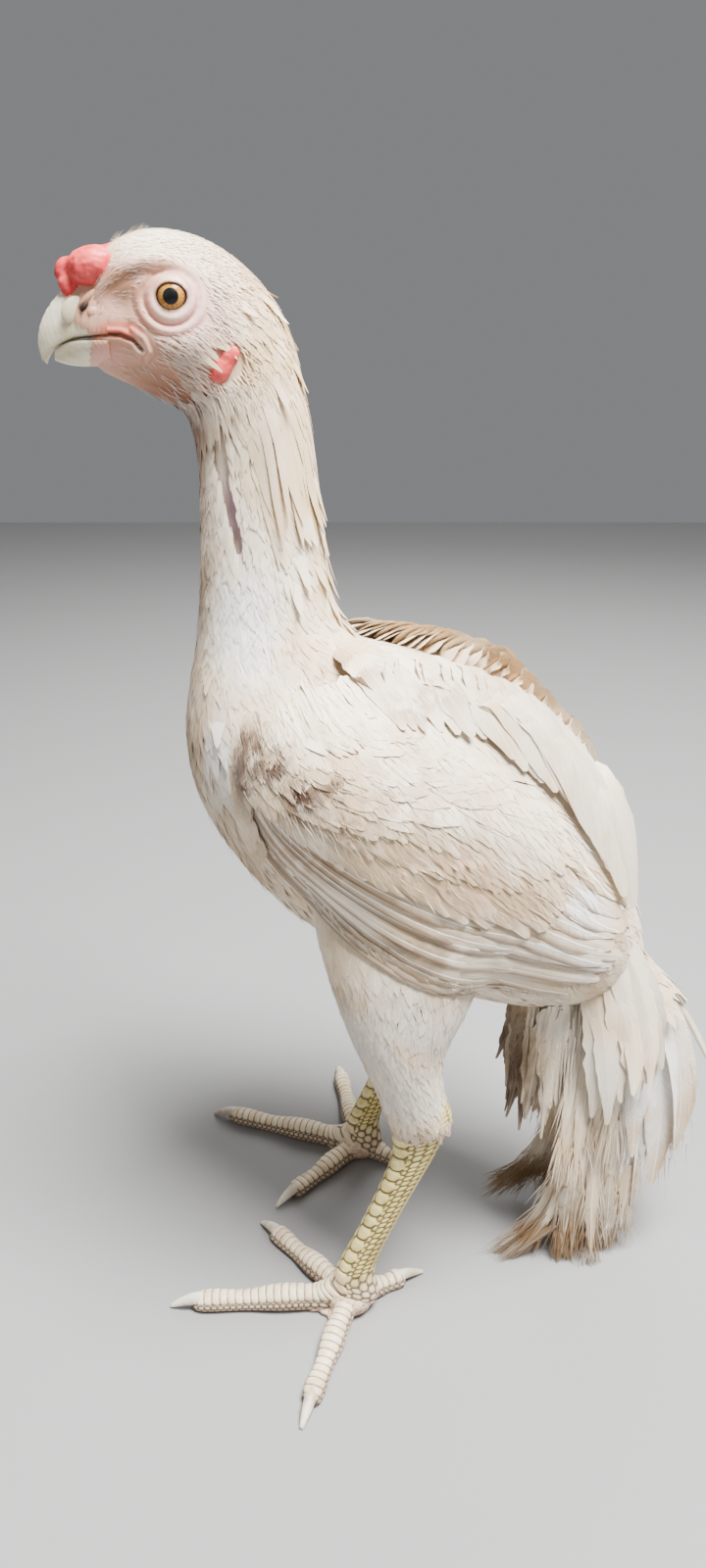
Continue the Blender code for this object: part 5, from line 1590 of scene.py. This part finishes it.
def thighCoat(label, side):
    surface = limbSurface(thighRows, side)
    place, angle = scatter(surface, 0.9, 4.90, 0.0050, 0.0048, 1)
    spot = surface(place, angle, np.zeros(len(place)))
    place, angle = keepRoots(place, angle, ~underWing(spot) | (np.abs(spot[:, 1]) < 0.05))
    many = len(place)
    size = np.interp(place, [0.5, 3, 4.9], [0.034, 0.026, 0.012]) * uniform(0.85, 1.15, many)
    roots = {
        "place": place, "angle": angle, "length": size, "half": size * 0.21,
        "yaw": uniform(-0.15, 0.15, many), "bend": uniform(-0.2, 0.2, many), "tint": rng.random(many),
        "low": np.full(many, -0.0026), "high": 0.0001 + 0.0003 * rng.random(many) ** 2,
    }
    shape = {**roundVane, "shingle": 0.0004, "flow": 1}
    layVanes(f"thighCoat_{label}", surface, roots, shape, thighChart, bodyPlumage)
    place, angle = scatter(surface, 1.5, 4.95, 0.0042, 0.0028, 1)
    many = len(place)
    roots = {
        "place": place, "angle": angle,
        "length": np.interp(place, [1.5, 4.9], [0.016, 0.008]) * uniform(0.8, 1.3, many),
        "half": np.full(many, 0.00024), "yaw": uniform(-0.3, 0.3, many), "bend": uniform(-0.4, 0.4, many),
        "tint": rng.random(many), "low": np.full(many, -0.0012), "high": uniform(0.0002, 0.0013, many),
    }
    shape = {**singleBarb, "thick": 0.00015, "flow": 1}
    layVanes(f"thighWisps_{label}", surface, roots, shape, thighChart, bodyPlumage)


headCoat()
neckUnderCoat()
hackles()
bodyCoat("breastCoat", 9.8, 5.2)
bodyCoat("rumpCoat", 5.2, -0.1)
bodyWisps()
for label, side in sides.items():
    thighCoat(label, side)
print("body plumage laid")


# Wings: rows of flight feathers and coverts. A tier is (count, half width, lift at root, lift at tip,
# step of lift from feather to feather, rows, outline, key paths), a path its root, bend and tip
wingTiers = {
    "flights": (11, 0.0062, 0.0006, 0.0020, -0.00024, 22, "flight", [
        [(-0.0840, 0.3400), (-0.0420, 0.2950), (0.1070, 0.2350)],
        [(-0.0880, 0.3380), (-0.0600, 0.2760), (0.1010, 0.2250)],
        [(-0.0920, 0.3400), (-0.0740, 0.2680), (0.0820, 0.2160)],
        [(-0.0960, 0.3460), (-0.0820, 0.2660), (0.0450, 0.2190)],
        [(-0.0985, 0.3560), (-0.0900, 0.2760), (0.0000, 0.2450)],
    ]),
    "tertials": (6, 0.0100, 0.0010, 0.0030, -0.00022, 16, "flight", [
        [(0.0350, 0.3320), (0.0740, 0.3140), (0.1080, 0.2640)],
        [(0.0150, 0.3080), (0.0560, 0.2820), (0.1070, 0.2480)],
        [(-0.0050, 0.3020), (0.0360, 0.2680), (0.1030, 0.2330)],
    ]),
    "greaterCoverts": (18, 0.0080, 0.0012, 0.0034, -0.00006, 12, "round", [
        [(0.0240, 0.3240), (0.0520, 0.3060), (0.0720, 0.2700)],
        [(0.0000, 0.3180), (0.0300, 0.2980), (0.0560, 0.2560)],
        [(-0.0480, 0.3340), (-0.0280, 0.3160), (-0.0060, 0.2860)],
        [(-0.0880, 0.3600), (-0.0800, 0.3420), (-0.0640, 0.3160)],
    ]),
    "middleCoverts": (17, 0.0078, 0.0016, 0.0038, -0.00006, 12, "round", [
        [(0.0060, 0.3480), (0.0420, 0.3340), (0.0700, 0.2900)],
        [(-0.0100, 0.3360), (0.0180, 0.3200), (0.0420, 0.2840)],
        [(-0.0540, 0.3500), (-0.0360, 0.3340), (-0.0150, 0.3080)],
        [(-0.0900, 0.3660), (-0.0840, 0.3520), (-0.0700, 0.3300)],
    ]),
    "upperCoverts": (15, 0.0074, 0.0018, 0.0040, -0.00006, 12, "round", [
        [(-0.0100, 0.3640), (0.0220, 0.3560), (0.0540, 0.3180)],
        [(-0.0300, 0.3560), (-0.0040, 0.3400), (0.0180, 0.3080)],
        [(-0.0640, 0.3640), (-0.0460, 0.3500), (-0.0260, 0.3240)],
        [(-0.0920, 0.3740), (-0.0870, 0.3620), (-0.0760, 0.3420)],
    ]),
    "scapulars": (14, 0.0092, 0.0016, 0.0040, -0.00008, 12, "round", [
        [(-0.0300, 0.3800), (0.0160, 0.3720), (0.0560, 0.3380)],
        [(-0.0140, 0.3640), (0.0320, 0.3460), (0.0700, 0.3060)],
        [(0.0060, 0.3480), (0.0480, 0.3280), (0.0840, 0.2880)],
    ]),
    "backScapulars": (13, 0.0096, 0.0012, 0.0034, -0.00010, 12, "round", [
        [(-0.0080, 0.3780), (0.0440, 0.3640), (0.0860, 0.3180)],
        [(0.0120, 0.3640), (0.0620, 0.3400), (0.1020, 0.2900)],
        [(0.0360, 0.3420), (0.0800, 0.3120), (0.1120, 0.2620)],
    ]),
}


def curveAt(paths, v):  # quadratic curves: paths (many, 3, n) and v (rows)
    a, b, c = (paths[:, None, k] for k in range(3))
    v = v[None, :, None]
    spot = a * (1 - v) ** 2 + b * 2 * v * (1 - v) + c * v**2
    way = (b - a) * (1 - v) + (c - b) * v
    return spot, unit(way)


def wornBack(way, v, shape):  # how far the worn points of a vane fall back towards its root
    behind = (np.linspace(0, 1, shape["rows"])[None, :, None] - v) * shape["length"]
    return -way[:, :, None] * behind[..., None]


def wingVanes(name, side, paths, half, lifts, shape):
    many = len(paths)
    v, u = vaneShape(many, shape)
    low, high = (value[:, None, None] for value in lifts)
    spot, way = curveAt(paths, np.linspace(0, 1, shape["rows"]))
    across = np.stack([way[..., 1], -way[..., 0]], -1)
    flat = spot[:, :, None] + across[:, :, None] * (u * half[:, None, None])[..., None]
    flat = flat + wornBack(way, v, shape)
    ridgeUp = shape["crown"] * (1 - np.abs(u))
    lift = low * (1 - v) ** 3 + (high - wingForm["rise"]) * (1 - (1 - v) ** 3) + wingForm["rise"] * v
    lift = lift + wingForm["shingle"] * u * half[:, None, None] / 0.009 + ridgeUp
    top = wingSurface(flat[..., 0], flat[..., 1], lift, side)
    under = wingSurface(flat[..., 0], flat[..., 1], lift - shape["thick"], side)
    mark = paths[:, 0] * 0.4 + paths[:, 1] * 0.4 + paths[:, 2] * 0.2
    root = wingSurface(mark[:, 0], mark[:, 1], np.zeros(many), side)
    along, off = armPlace(paths[:, 0, 0], paths[:, 0, 1])
    chart = np.stack([0.5 + along * 3.0, 0.5 + off * 6.0], -1)
    up = np.tile((0.0, side, 0.0), (many, 1))
    return vanePiece(name, top, under, root, rng.random(many), chart, shape["material"], up)


def tierPaths(count, keys, loose):
    share = np.linspace(0, len(keys) - 1, count)
    flat = np.array(keys).reshape(len(keys), -1)
    paths = np.stack([np.interp(share, np.arange(len(keys)), column) for column in flat.T], -1)
    paths = paths.reshape(count, 3, 2)
    return paths + rng.uniform(-loose, loose, paths.shape) * np.array([0.4, 1.0, 1.5])[None, :, None]


def shortPaths(x, z, lean, length):  # straight paths, as root, middle and tip
    root = np.stack([x, z], -1)
    way = np.stack([np.cos(lean), -np.sin(lean)], -1) * length[:, None]
    return np.stack([root, root + way * 0.5, root + way], 1)


wingBarb = {"rows": 4, "columns": 3, "outline": "strand", "fray": 0.0, "tipFray": 0.0, "crown": 0.0001,
            "thick": 0.00014, "length": 0.02, "material": bodyPlumage}


def wingField(gap):  # staggered places on the folded wing, and the way its coverts lie there
    x, z = np.meshgrid(np.arange(-0.104, 0.095, gap), np.arange(0.262, 0.396, gap * 0.92))
    x = x + (np.arange(x.shape[0]) % 2)[:, None] * gap * 0.5
    x, z = x.ravel() + uniform(-0.3, 0.3, x.size) * gap, z.ravel() + uniform(-0.3, 0.3, x.size) * gap
    lean = np.interp(x, [-0.100, -0.075, -0.035, 0.02, 0.07], [1.45, 1.12, 0.88, 0.72, 0.74])
    lean = lean - np.clip((z - 0.345) / 0.05, 0, 1) * 0.35 + uniform(-0.14, 0.14, x.size)
    return x, z, lean


def smallCoverts(label, side):
    x, z, lean = wingField(0.0052)
    floor = np.interp(x, [-0.100, -0.080, -0.050, -0.02, 0.01], [0.340, 0.352, 0.345, 0.344, 0.352])
    roof = np.interp(x, [-0.100, -0.089, -0.068, -0.045, -0.015, 0.05],
                     [0.368, 0.383, 0.391, 0.394, 0.380, 0.330])
    keep = (armBulge(x, z) > 0.05) & (z > floor) & (z < roof)
    x, z, lean = x[keep], z[keep], lean[keep]
    close = 70
    rim = uniform(0, 1, close)  # a close row of short coverts round the front edge of the arm
    turn = math.radians(-wingForm["slope"])
    ahead, behind, above, below = wingForm["spread"]
    bend = math.radians(100) + rim * math.radians(150)
    along = np.cos(bend) * ahead * uniform(0.90, 0.97, close)
    off = np.sin(bend) * np.where(np.sin(bend) > 0, above, below) * 0.95
    x = np.concatenate([x, wingForm["arm"][0] + along * math.cos(turn) - off * math.sin(turn)])
    z = np.concatenate([z, wingForm["arm"][1] + along * math.sin(turn) + off * math.cos(turn)])
    rimLean = np.interp(rim, [0, 0.4, 1], [0.5, 1.3, 1.5]) + uniform(-0.1, 0.1, close)
    lean = np.concatenate([lean, rimLean])
    many = len(x)
    length = np.interp(x, [-0.10, -0.06, 0.05], [0.018, 0.026, 0.034]) * uniform(0.85, 1.2, many)
    paths = shortPaths(x, z, lean, length)
    lifts = np.full(many, 0.0020), 0.0042 + 0.0004 * rng.random(many)
    shape = {"rows": 6, "columns": 5, "outline": "round", "fray": 0.10, "tipFray": 0.10, "crown": 0.0002,
             "thick": 0.00016, "length": 0.02, "material": bodyPlumage}
    wingVanes(f"smallCoverts_{label}", side, paths, length * 0.23, lifts, shape)
    wingWisps(label, side)


def wingWisps(label, side):  # single barbs over the coverts
    x, z, lean = wingField(0.0040)
    floor = np.interp(x, [-0.100, -0.070, -0.050, -0.02, 0.015, 0.06, 0.1],
                      [0.345, 0.322, 0.309, 0.296, 0.280, 0.262, 0.27])
    roof = np.interp(x, [-0.100, -0.089, -0.068, -0.045, -0.005, 0.06, 0.1],
                     [0.368, 0.383, 0.391, 0.394, 0.385, 0.340, 0.28])
    keep = (z > floor) & (z < roof)
    x, z, lean = x[keep], z[keep], lean[keep] + uniform(-0.2, 0.2, keep.sum())
    many = len(x)
    length = uniform(0.006, 0.014, many)
    paths = shortPaths(x, z, lean, length)
    loose = (rng.random(many) < 0.05) * rng.random(many)
    lifts = np.full(many, 0.0040), 0.0048 + 0.0004 * rng.random(many) + 0.0016 * loose
    wingVanes(f"wingWisps_{label}", side, paths, uniform(0.00014, 0.00026, many), lifts, wingBarb)


def wingFringe(label, side):  # the frayed brown rim where the flight feathers end
    x = np.concatenate([uniform(0.055, 0.104, 260), uniform(-0.09, 0.055, 200)])
    z = np.interp(x, [-0.09, -0.07, -0.055, -0.02, 0.035, 0.068, 0.089, 0.098, 0.105],
                  [0.318, 0.286, 0.268, 0.251, 0.219, 0.214, 0.220, 0.232, 0.242])
    many = len(x)
    z = z + uniform(-0.001, 0.006, many)
    lean = np.interp(x, [-0.09, -0.05, 0.03, 0.08, 0.104], [1.05, 0.75, 0.75, 1.0, 0.7])
    lean = lean + uniform(-0.25, 0.25, many)
    length = uniform(0.004, 0.009, many)
    paths = shortPaths(x, z, lean, length)
    shape = {**wingBarb, "rows": 3, "length": 0.01, "material": flightPlumage}
    lifts = np.full(many, 0.0004), uniform(0.0006, 0.0016, many)
    wingVanes(f"wingFringe_{label}", side, paths, uniform(0.0002, 0.0004, many), lifts, shape)


def makeWing(label, side):
    for name, (count, half, low, high, step, rows, outline, keys) in wingTiers.items():
        flight = outline == "flight"
        paths = tierPaths(count, keys, 0.0018 if flight else 0.0012)
        order = np.arange(count) * step
        shape = {"rows": rows, "columns": 7, "outline": outline, "fray": 0.03 if flight else 0.10,
                 "tipFray": 0.03 if flight else 0.10, "crown": 0.0004, "thick": 0.0002, "length": 0.04,
                 "material": flightPlumage if flight else bodyPlumage}
        width = half * uniform(0.85, 1.20, count)
        tier = wingVanes(f"{name}_{label}", side, paths, width, (low + order, high + order), shape)
        if name == "flights":
            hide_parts(f"wing_{label}")
    smallCoverts(label, side)
    wingFringe(label, side)


for label, side in sides.items():
    makeWing(label, side)
print("wings made")


# Tail: a fan of feathers on each side, (half width, root, bend, tip) for the left, mirrored for the right
tailForm = {
    "vanes": [
        (0.0135, (0.1280, 0.0080, 0.2000), (0.1640, 0.0160, 0.1480), (0.1570, 0.0180, 0.0640)),
        (0.0150, (0.1260, 0.0140, 0.1980), (0.1500, 0.0230, 0.1420), (0.1450, 0.0240, 0.0540)),
        (0.0120, (0.1220, 0.0200, 0.1980), (0.1310, 0.0290, 0.1480), (0.1340, 0.0300, 0.0760)),
        (0.0130, (0.1230, 0.0100, 0.1860), (0.1270, 0.0240, 0.1000), (0.1270, 0.0270, 0.0170)),
        (0.0130, (0.1180, 0.0120, 0.1840), (0.1140, 0.0280, 0.0960), (0.1160, 0.0330, 0.0060)),
        (0.0120, (0.1120, 0.0140, 0.1840), (0.1010, 0.0320, 0.0880), (0.1000, 0.0380, 0.0050)),
        (0.0100, (0.1100, 0.0160, 0.1820), (0.1080, 0.0340, 0.0400), (0.0620, 0.0360, 0.0060)),
        (0.0120, (0.1050, 0.0180, 0.1900), (0.1000, 0.0380, 0.1350), (0.0940, 0.0440, 0.0700)),
        (0.0110, (0.1120, 0.0220, 0.1960), (0.1160, 0.0360, 0.1480), (0.1120, 0.0400, 0.0850)),
    ],
    "rightShorter": 0.94,
    "rightSpread": 0.6,
    "splits": {0: (-0.35, 0.35), 1: (-0.35, 0.35), 2: (0.0,)},  # the broad outer feathers stay whole
    "fineSplits": (-0.6, 0.0, 0.6),  # the others are laid as some narrower feathers
    "sickle": (0.0024, (0.1360, 0.0010, 0.1960), (0.1650, 0.0020, 0.1720), (0.1920, 0.0030, 0.1080)),
    "coverts": [  # root, bend, tip of the first and of the last covert that veil the tail's sides
        [(0.1140, 0.0300, 0.2300), (0.1380, 0.0380, 0.2000), (0.1440, 0.0380, 0.1450)],
        [(0.0960, 0.0300, 0.2060), (0.1060, 0.0420, 0.1700), (0.1060, 0.0440, 0.1150)],
    ],
    "backs": [  # half width, bend, tip, distances from the middle plane, of feathers that face the rear
        (0.0110, (0.1650, 0.1480), (0.1580, 0.0640), (-0.019, -0.007, 0.004, 0.013)),
        (0.0105, (0.1450, 0.0980), (0.1370, 0.0130), (-0.022, -0.009, 0.003, 0.014)),
    ],
    "fluff": (0.062, 0.094),
}


def freeVanes(name, paths, half, out, shape, markAt):
    many = len(paths)
    rows = shape["rows"]
    v, u = vaneShape(many, shape)
    spot, way = curveAt(paths, np.linspace(0, 1, rows))
    across = unit(np.cross(way, out[:, None]))
    lift = shape["crown"] * (1 - np.abs(u))[..., None] * out[:, None, None]
    top = spot[:, :, None] + across[:, :, None] * (u * half[:, None, None])[..., None] + lift
    top = top + wornBack(way, v, shape)
    under = top - out[:, None, None] * shape["thick"]
    top[..., 2], under[..., 2] = np.maximum(top[..., 2], 0.0), np.maximum(under[..., 2], 0.0)
    mark = spot[:, int(markAt * (rows - 1))]
    chart = np.stack([0.5 + (mark[:, 0] - 0.10) * 3.5, 0.05 + mark[:, 2] * 3.5], -1)
    chart = np.clip(chart, 0.02, 0.98)
    return vanePiece(name, top, under, mark, rng.random(many), chart, shape["material"], out)


def looseEnds():  # a feather's root moves little and its tip most
    return rng.uniform(-1, 1, (3, 3)) * np.array([[0.001], [0.002], [0.004]])


def tailPaths():
    paths, half, out, broad = [], [], [], []
    for side in (-1, 1):
        shorter, spread = (1.0, 1.0) if side < 0 else (tailForm["rightShorter"], tailForm["rightSpread"])
        for number, (width, *path) in enumerate(tailForm["vanes"]):
            points = np.array(path) * (1, side * spread, 1)
            points[2] = points[1] + (points[2] - points[1]) * shorter
            splits = tailForm["splits"].get(number, tailForm["fineSplits"])
            for split in splits:
                moved = points + looseEnds()
                moved[:, 0] += width * split * np.array([0.35, 1.0, 1.0])
                moved[:, 1] -= side * spread * np.array([0.001, 0.002, 0.002]) * rng.uniform(0, 1.5)
                moved[2, 2] = max(moved[2, 2] + rng.uniform(-0.002, 0.008), 0.0015)
                paths.append(moved)
                half.append(width * (0.80 if len(splits) < 3 else rng.uniform(0.50, 0.62)))
                out.append(np.array((0.15 + rng.uniform(-0.15, 0.15), side, 0.0)))
                broad.append(len(splits) < 3)
    return np.array(paths), np.array(half), unit(np.array(out)), np.array(broad)


def tailStrands(paths, half, out, many):  # loose barbs along the lower half of each tail feather
    pick = rng.integers(0, len(paths), many)
    share = uniform(0.40, 1.0, len(pick)) ** 0.8
    chosen = paths[pick]
    s = share[:, None]
    base = chosen[:, 0] * (1 - s) ** 2 + chosen[:, 1] * 2 * s * (1 - s) + chosen[:, 2] * s**2
    way = unit((chosen[:, 1] - chosen[:, 0]) * (1 - s) + (chosen[:, 2] - chosen[:, 1]) * s)
    across = np.cross(way, out[pick])
    edge = rng.uniform(-1, 1, len(pick))[:, None]
    start = base + across * edge * half[pick][:, None] * 0.9 - way * 0.004
    length = uniform(0.010, 0.024, len(pick))[:, None]
    aim = way + across * edge * uniform(0.0, 0.45, len(pick))[:, None]
    aim = aim + rng.uniform(-0.1, 0.1, start.shape)
    middle = start + aim * length * 0.5
    end = start + aim * length + np.array([0, 0, -1.0]) * length * 0.2
    strands = np.stack([start, middle, end], 1)
    strands[..., 2] = np.maximum(strands[..., 2], 0.0008)
    return strands, out[pick]


def hangingFluff(many, longest):  # soft feathers that hang behind the legs, whose dark brown is partly their own and partly painted shade
    x, y = uniform(*tailForm["fluff"], many), uniform(-0.034, 0.034, many)
    drop = uniform(0.0, 0.094 - longest, many) * (1 - 0.2 * (y / 0.034) ** 2)
    root = np.stack([x, y, 0.190 - drop], -1)
    length = longest * uniform(0.62, 1.0, many)[:, None]
    drift = np.stack([uniform(-0.10, 0.05, many), y * 2.0 + uniform(-0.05, 0.05, many), -np.ones(many)], -1)
    swing = np.stack([uniform(-0.10, 0.06, many), uniform(-0.06, 0.06, many), np.zeros(many)], -1)
    paths = np.stack([root, root + drift * length * 0.5, root + (drift + swing) * length], 1)
    out = np.stack([uniform(-0.3, 0.5, many), np.sign(y) + 0.01, np.zeros(many)], -1)
    return paths, unit(out)


def tailBacks():  # the tail's feathers that face the rear
    paths, half, out = [], [], []
    for width, bend, tip, places in tailForm["backs"]:
        for y in places:
            points = [(0.1270, y * 0.4, 0.1980), (bend[0], y * 0.9, bend[1]), (tip[0], y * 1.1, tip[1])]
            paths.append(np.array(points) + looseEnds())
            half.append(width)
            out.append((1.0, y * 22, 0.1))
    return np.array(paths), np.array(half), unit(np.array(out))


def tailCoverts(side):
    count = 18
    share = (np.arange(count) / (count - 1))[:, None, None]
    first, last = (np.array(path) * (1, side, 1) for path in tailForm["coverts"])
    paths = first[None] * (1 - share) + last[None] * share
    paths = paths + rng.uniform(-1, 1, paths.shape) * np.array([[0.003], [0.004], [0.008]])
    out = np.stack([uniform(-0.1, 0.4, count), np.full(count, float(side)), np.zeros(count)], -1)
    return paths, unit(out)


saddle = {
    "count": 22,
    "along": (9.4, 3.6),
    "rows": [(34, 1.0), (20, 0.70)],  # degrees from the middle of the back, and how far the feathers reach
    "edge": ([-0.034, 0.006, 0.046, 0.094], [0.3930, 0.3880, 0.3740, 0.3240]),  # the wing's upper edge
    "tips": ([-0.016, 0.030, 0.078, 0.112], [0.3720, 0.3600, 0.3180, 0.2600]),
    "half": 0.0088,
}


def saddleFeathers(label, side):  # feathers of the back that lie over the wing's upper edge
    paths = []
    for degrees, reach in saddle["rows"]:
        many = saddle["count"]
        share = np.linspace(0, 1, many) + uniform(-0.02, 0.02, many)
        angle = np.radians(90 + side * np.full(many, float(degrees)))
        root = bodySurface(np.interp(share, [0, 1], saddle["along"]), angle, np.full(many, 0.0002))
        stops = [0, 0.3, 0.65, 1]
        edge, tip = ([np.interp(share, stops, values) for values in saddle[key]] for key in ("edge", "tips"))
        over = wingSurface(*edge, np.full(many, 0.0062), side) + np.array((0.0, 0.0, 0.0016))
        tip = wingSurface(*tip, np.full(many, 0.0074), side)
        tip = over + (tip - over) * (2 * reach - 1)
        middle = 2 * (root + (over - root) * (0.5 + 0.5 * reach)) - (root + tip) / 2
        paths.append(np.stack([root, middle, tip], 1))
    paths = np.concatenate(paths)
    paths = paths + rng.uniform(-0.0008, 0.0008, paths.shape)
    out = np.tile((0.0, side * 0.72, 0.69), (len(paths), 1))
    shape = {"rows": 14, "columns": 7, "outline": "round", "fray": 0.12, "tipFray": 0.10, "crown": 0.0008,
             "thick": 0.0003, "length": 0.05, "material": bodyPlumage}
    half = saddle["half"] * uniform(0.85, 1.15, len(paths))
    freeVanes(f"saddleFeathers_{label}", paths, half, out, shape, 0.5)


for label, side in sides.items():
    saddleFeathers(label, side)
print("saddle feathers laid")


def makeTail():
    shape = {"rows": 22, "columns": 7, "outline": "worn", "fray": 0.015, "tipFray": 0.0, "crown": 0.0010,
             "thick": 0.0003, "length": 0.10, "material": tailPlumage}
    paths, half, out, broad = tailPaths()
    fan = freeVanes("tailFan", paths[broad], half[broad], out[broad], shape, 0.55)
    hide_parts("tail")
    backs, widths, outs = tailBacks()
    freeVanes("tailBacks", backs, widths, outs, {**shape, "fray": 0.06, "tipFray": 0.04}, 0.55)
    looser = {**shape, "outline": "lance", "fray": 0.14, "tipFray": 0.10}
    freeVanes("tailInner", paths[~broad], half[~broad], out[~broad], looser, 0.55)
    lower = paths[:, 2, 2] < 0.03
    ends = paths[lower].copy()
    ends[:, 0] = ends[:, 1] * 0.6 + ends[:, 2] * 0.4
    ends[:, 1] = ends[:, 1] * 0.3 + ends[:, 2] * 0.7
    endShape = {**shape, "rows": 12, "outline": "lance", "fray": 0.3, "tipFray": 0.35, "length": 0.04}
    freeVanes("tailEnds", ends, half[lower] * 0.7, out[lower], endShape, 1.0)
    wispShape = {**wingBarb, "crown": 0.0002, "thick": 0.00016, "material": tailPlumage}
    strands, outs = tailStrands(paths[~broad], half[~broad], out[~broad], 5200)
    freeVanes("tailStrands", strands, uniform(0.0002, 0.0005, len(strands)), outs, wispShape, 1.0)
    strands, outs = tailStrands(paths[broad], half[broad], out[broad], 500)
    freeVanes("lobeStrands", strands, uniform(0.0002, 0.0004, len(strands)), outs, wispShape, 1.0)
    width, *path = tailForm["sickle"]
    single = np.array([path]) * (1, -1, 1)
    freeVanes("sickleFeather", single, np.array([width]), np.array([[0.24, -0.97, 0.0]]),
              {**shape, "rows": 24}, 0.2)
    softShape = {**shape, "rows": 14, "material": bodyPlumage, "length": 0.06}
    for label, side in sides.items():
        coverts, outs = tailCoverts(side)
        freeVanes(f"tailCoverts_{label}", coverts, uniform(0.0055, 0.0085, len(coverts)), outs,
                  {**softShape, "outline": "round", "fray": 0.22, "tipFray": 0.14}, 0.3)
    fluff, outs = hangingFluff(130, 0.088)
    freeVanes("hangingFeathers", fluff, uniform(0.0035, 0.0060, len(fluff)), outs,
              {**softShape, "fray": 0.35, "tipFray": 0.25}, 0.7)
    fluff, outs = hangingFluff(2600, 0.026)
    fluffShape = {**wispShape, "rows": 5, "material": bodyPlumage}
    freeVanes("hangingFluff", fluff, uniform(0.0002, 0.0004, len(fluff)), outs, fluffShape, 0.7)


makeTail()
print("tail made")


# Studio
def floorMaterial(facts):
    material, tree, shader = newMaterial("studioFloor", Roughness=0.8)
    place = objectPlace(tree)
    shade = grain(tree, place, 6, 4.0)
    low = tuple(c * 0.96 for c in facts["floorColour"]) + (1.0,)
    tree.links.new(mixColour(tree, shade, low, (*facts["floorColour"], 1.0)), shader.inputs["Base Color"])
    return material


def makeStudio(facts):
    bm = bmesh.new()
    bmesh.ops.create_grid(bm, x_segments=1, y_segments=1, size=facts["floorSize"])
    mesh = toMesh(bm, "studioFloor")
    floor = bpy.data.objects.new("studioFloor", mesh)
    mesh.materials.append(floorMaterial(facts))
    bpy.context.scene.collection.objects.link(floor)
    world = bpy.data.worlds.new("softSky")
    world.use_nodes = True
    world.node_tree.nodes["Background"].inputs[0].default_value = (*facts["skyColour"], 1.0)
    world.node_tree.nodes["Background"].inputs[1].default_value = facts["skyStrength"]
    bpy.context.scene.world = world
    for place, aim, size, watts in facts["lights"]:
        light = bpy.data.lights.new("softBox", "AREA")
        light.size = size
        light.energy = watts
        lamp = bpy.data.objects.new("softBox", light)
        lamp.location = place
        lamp.rotation_euler = (Vector(aim) - Vector(place)).to_track_quat("-Z", "Y").to_euler()
        bpy.context.scene.collection.objects.link(lamp)


makeStudio(studio)
print("studio lit")
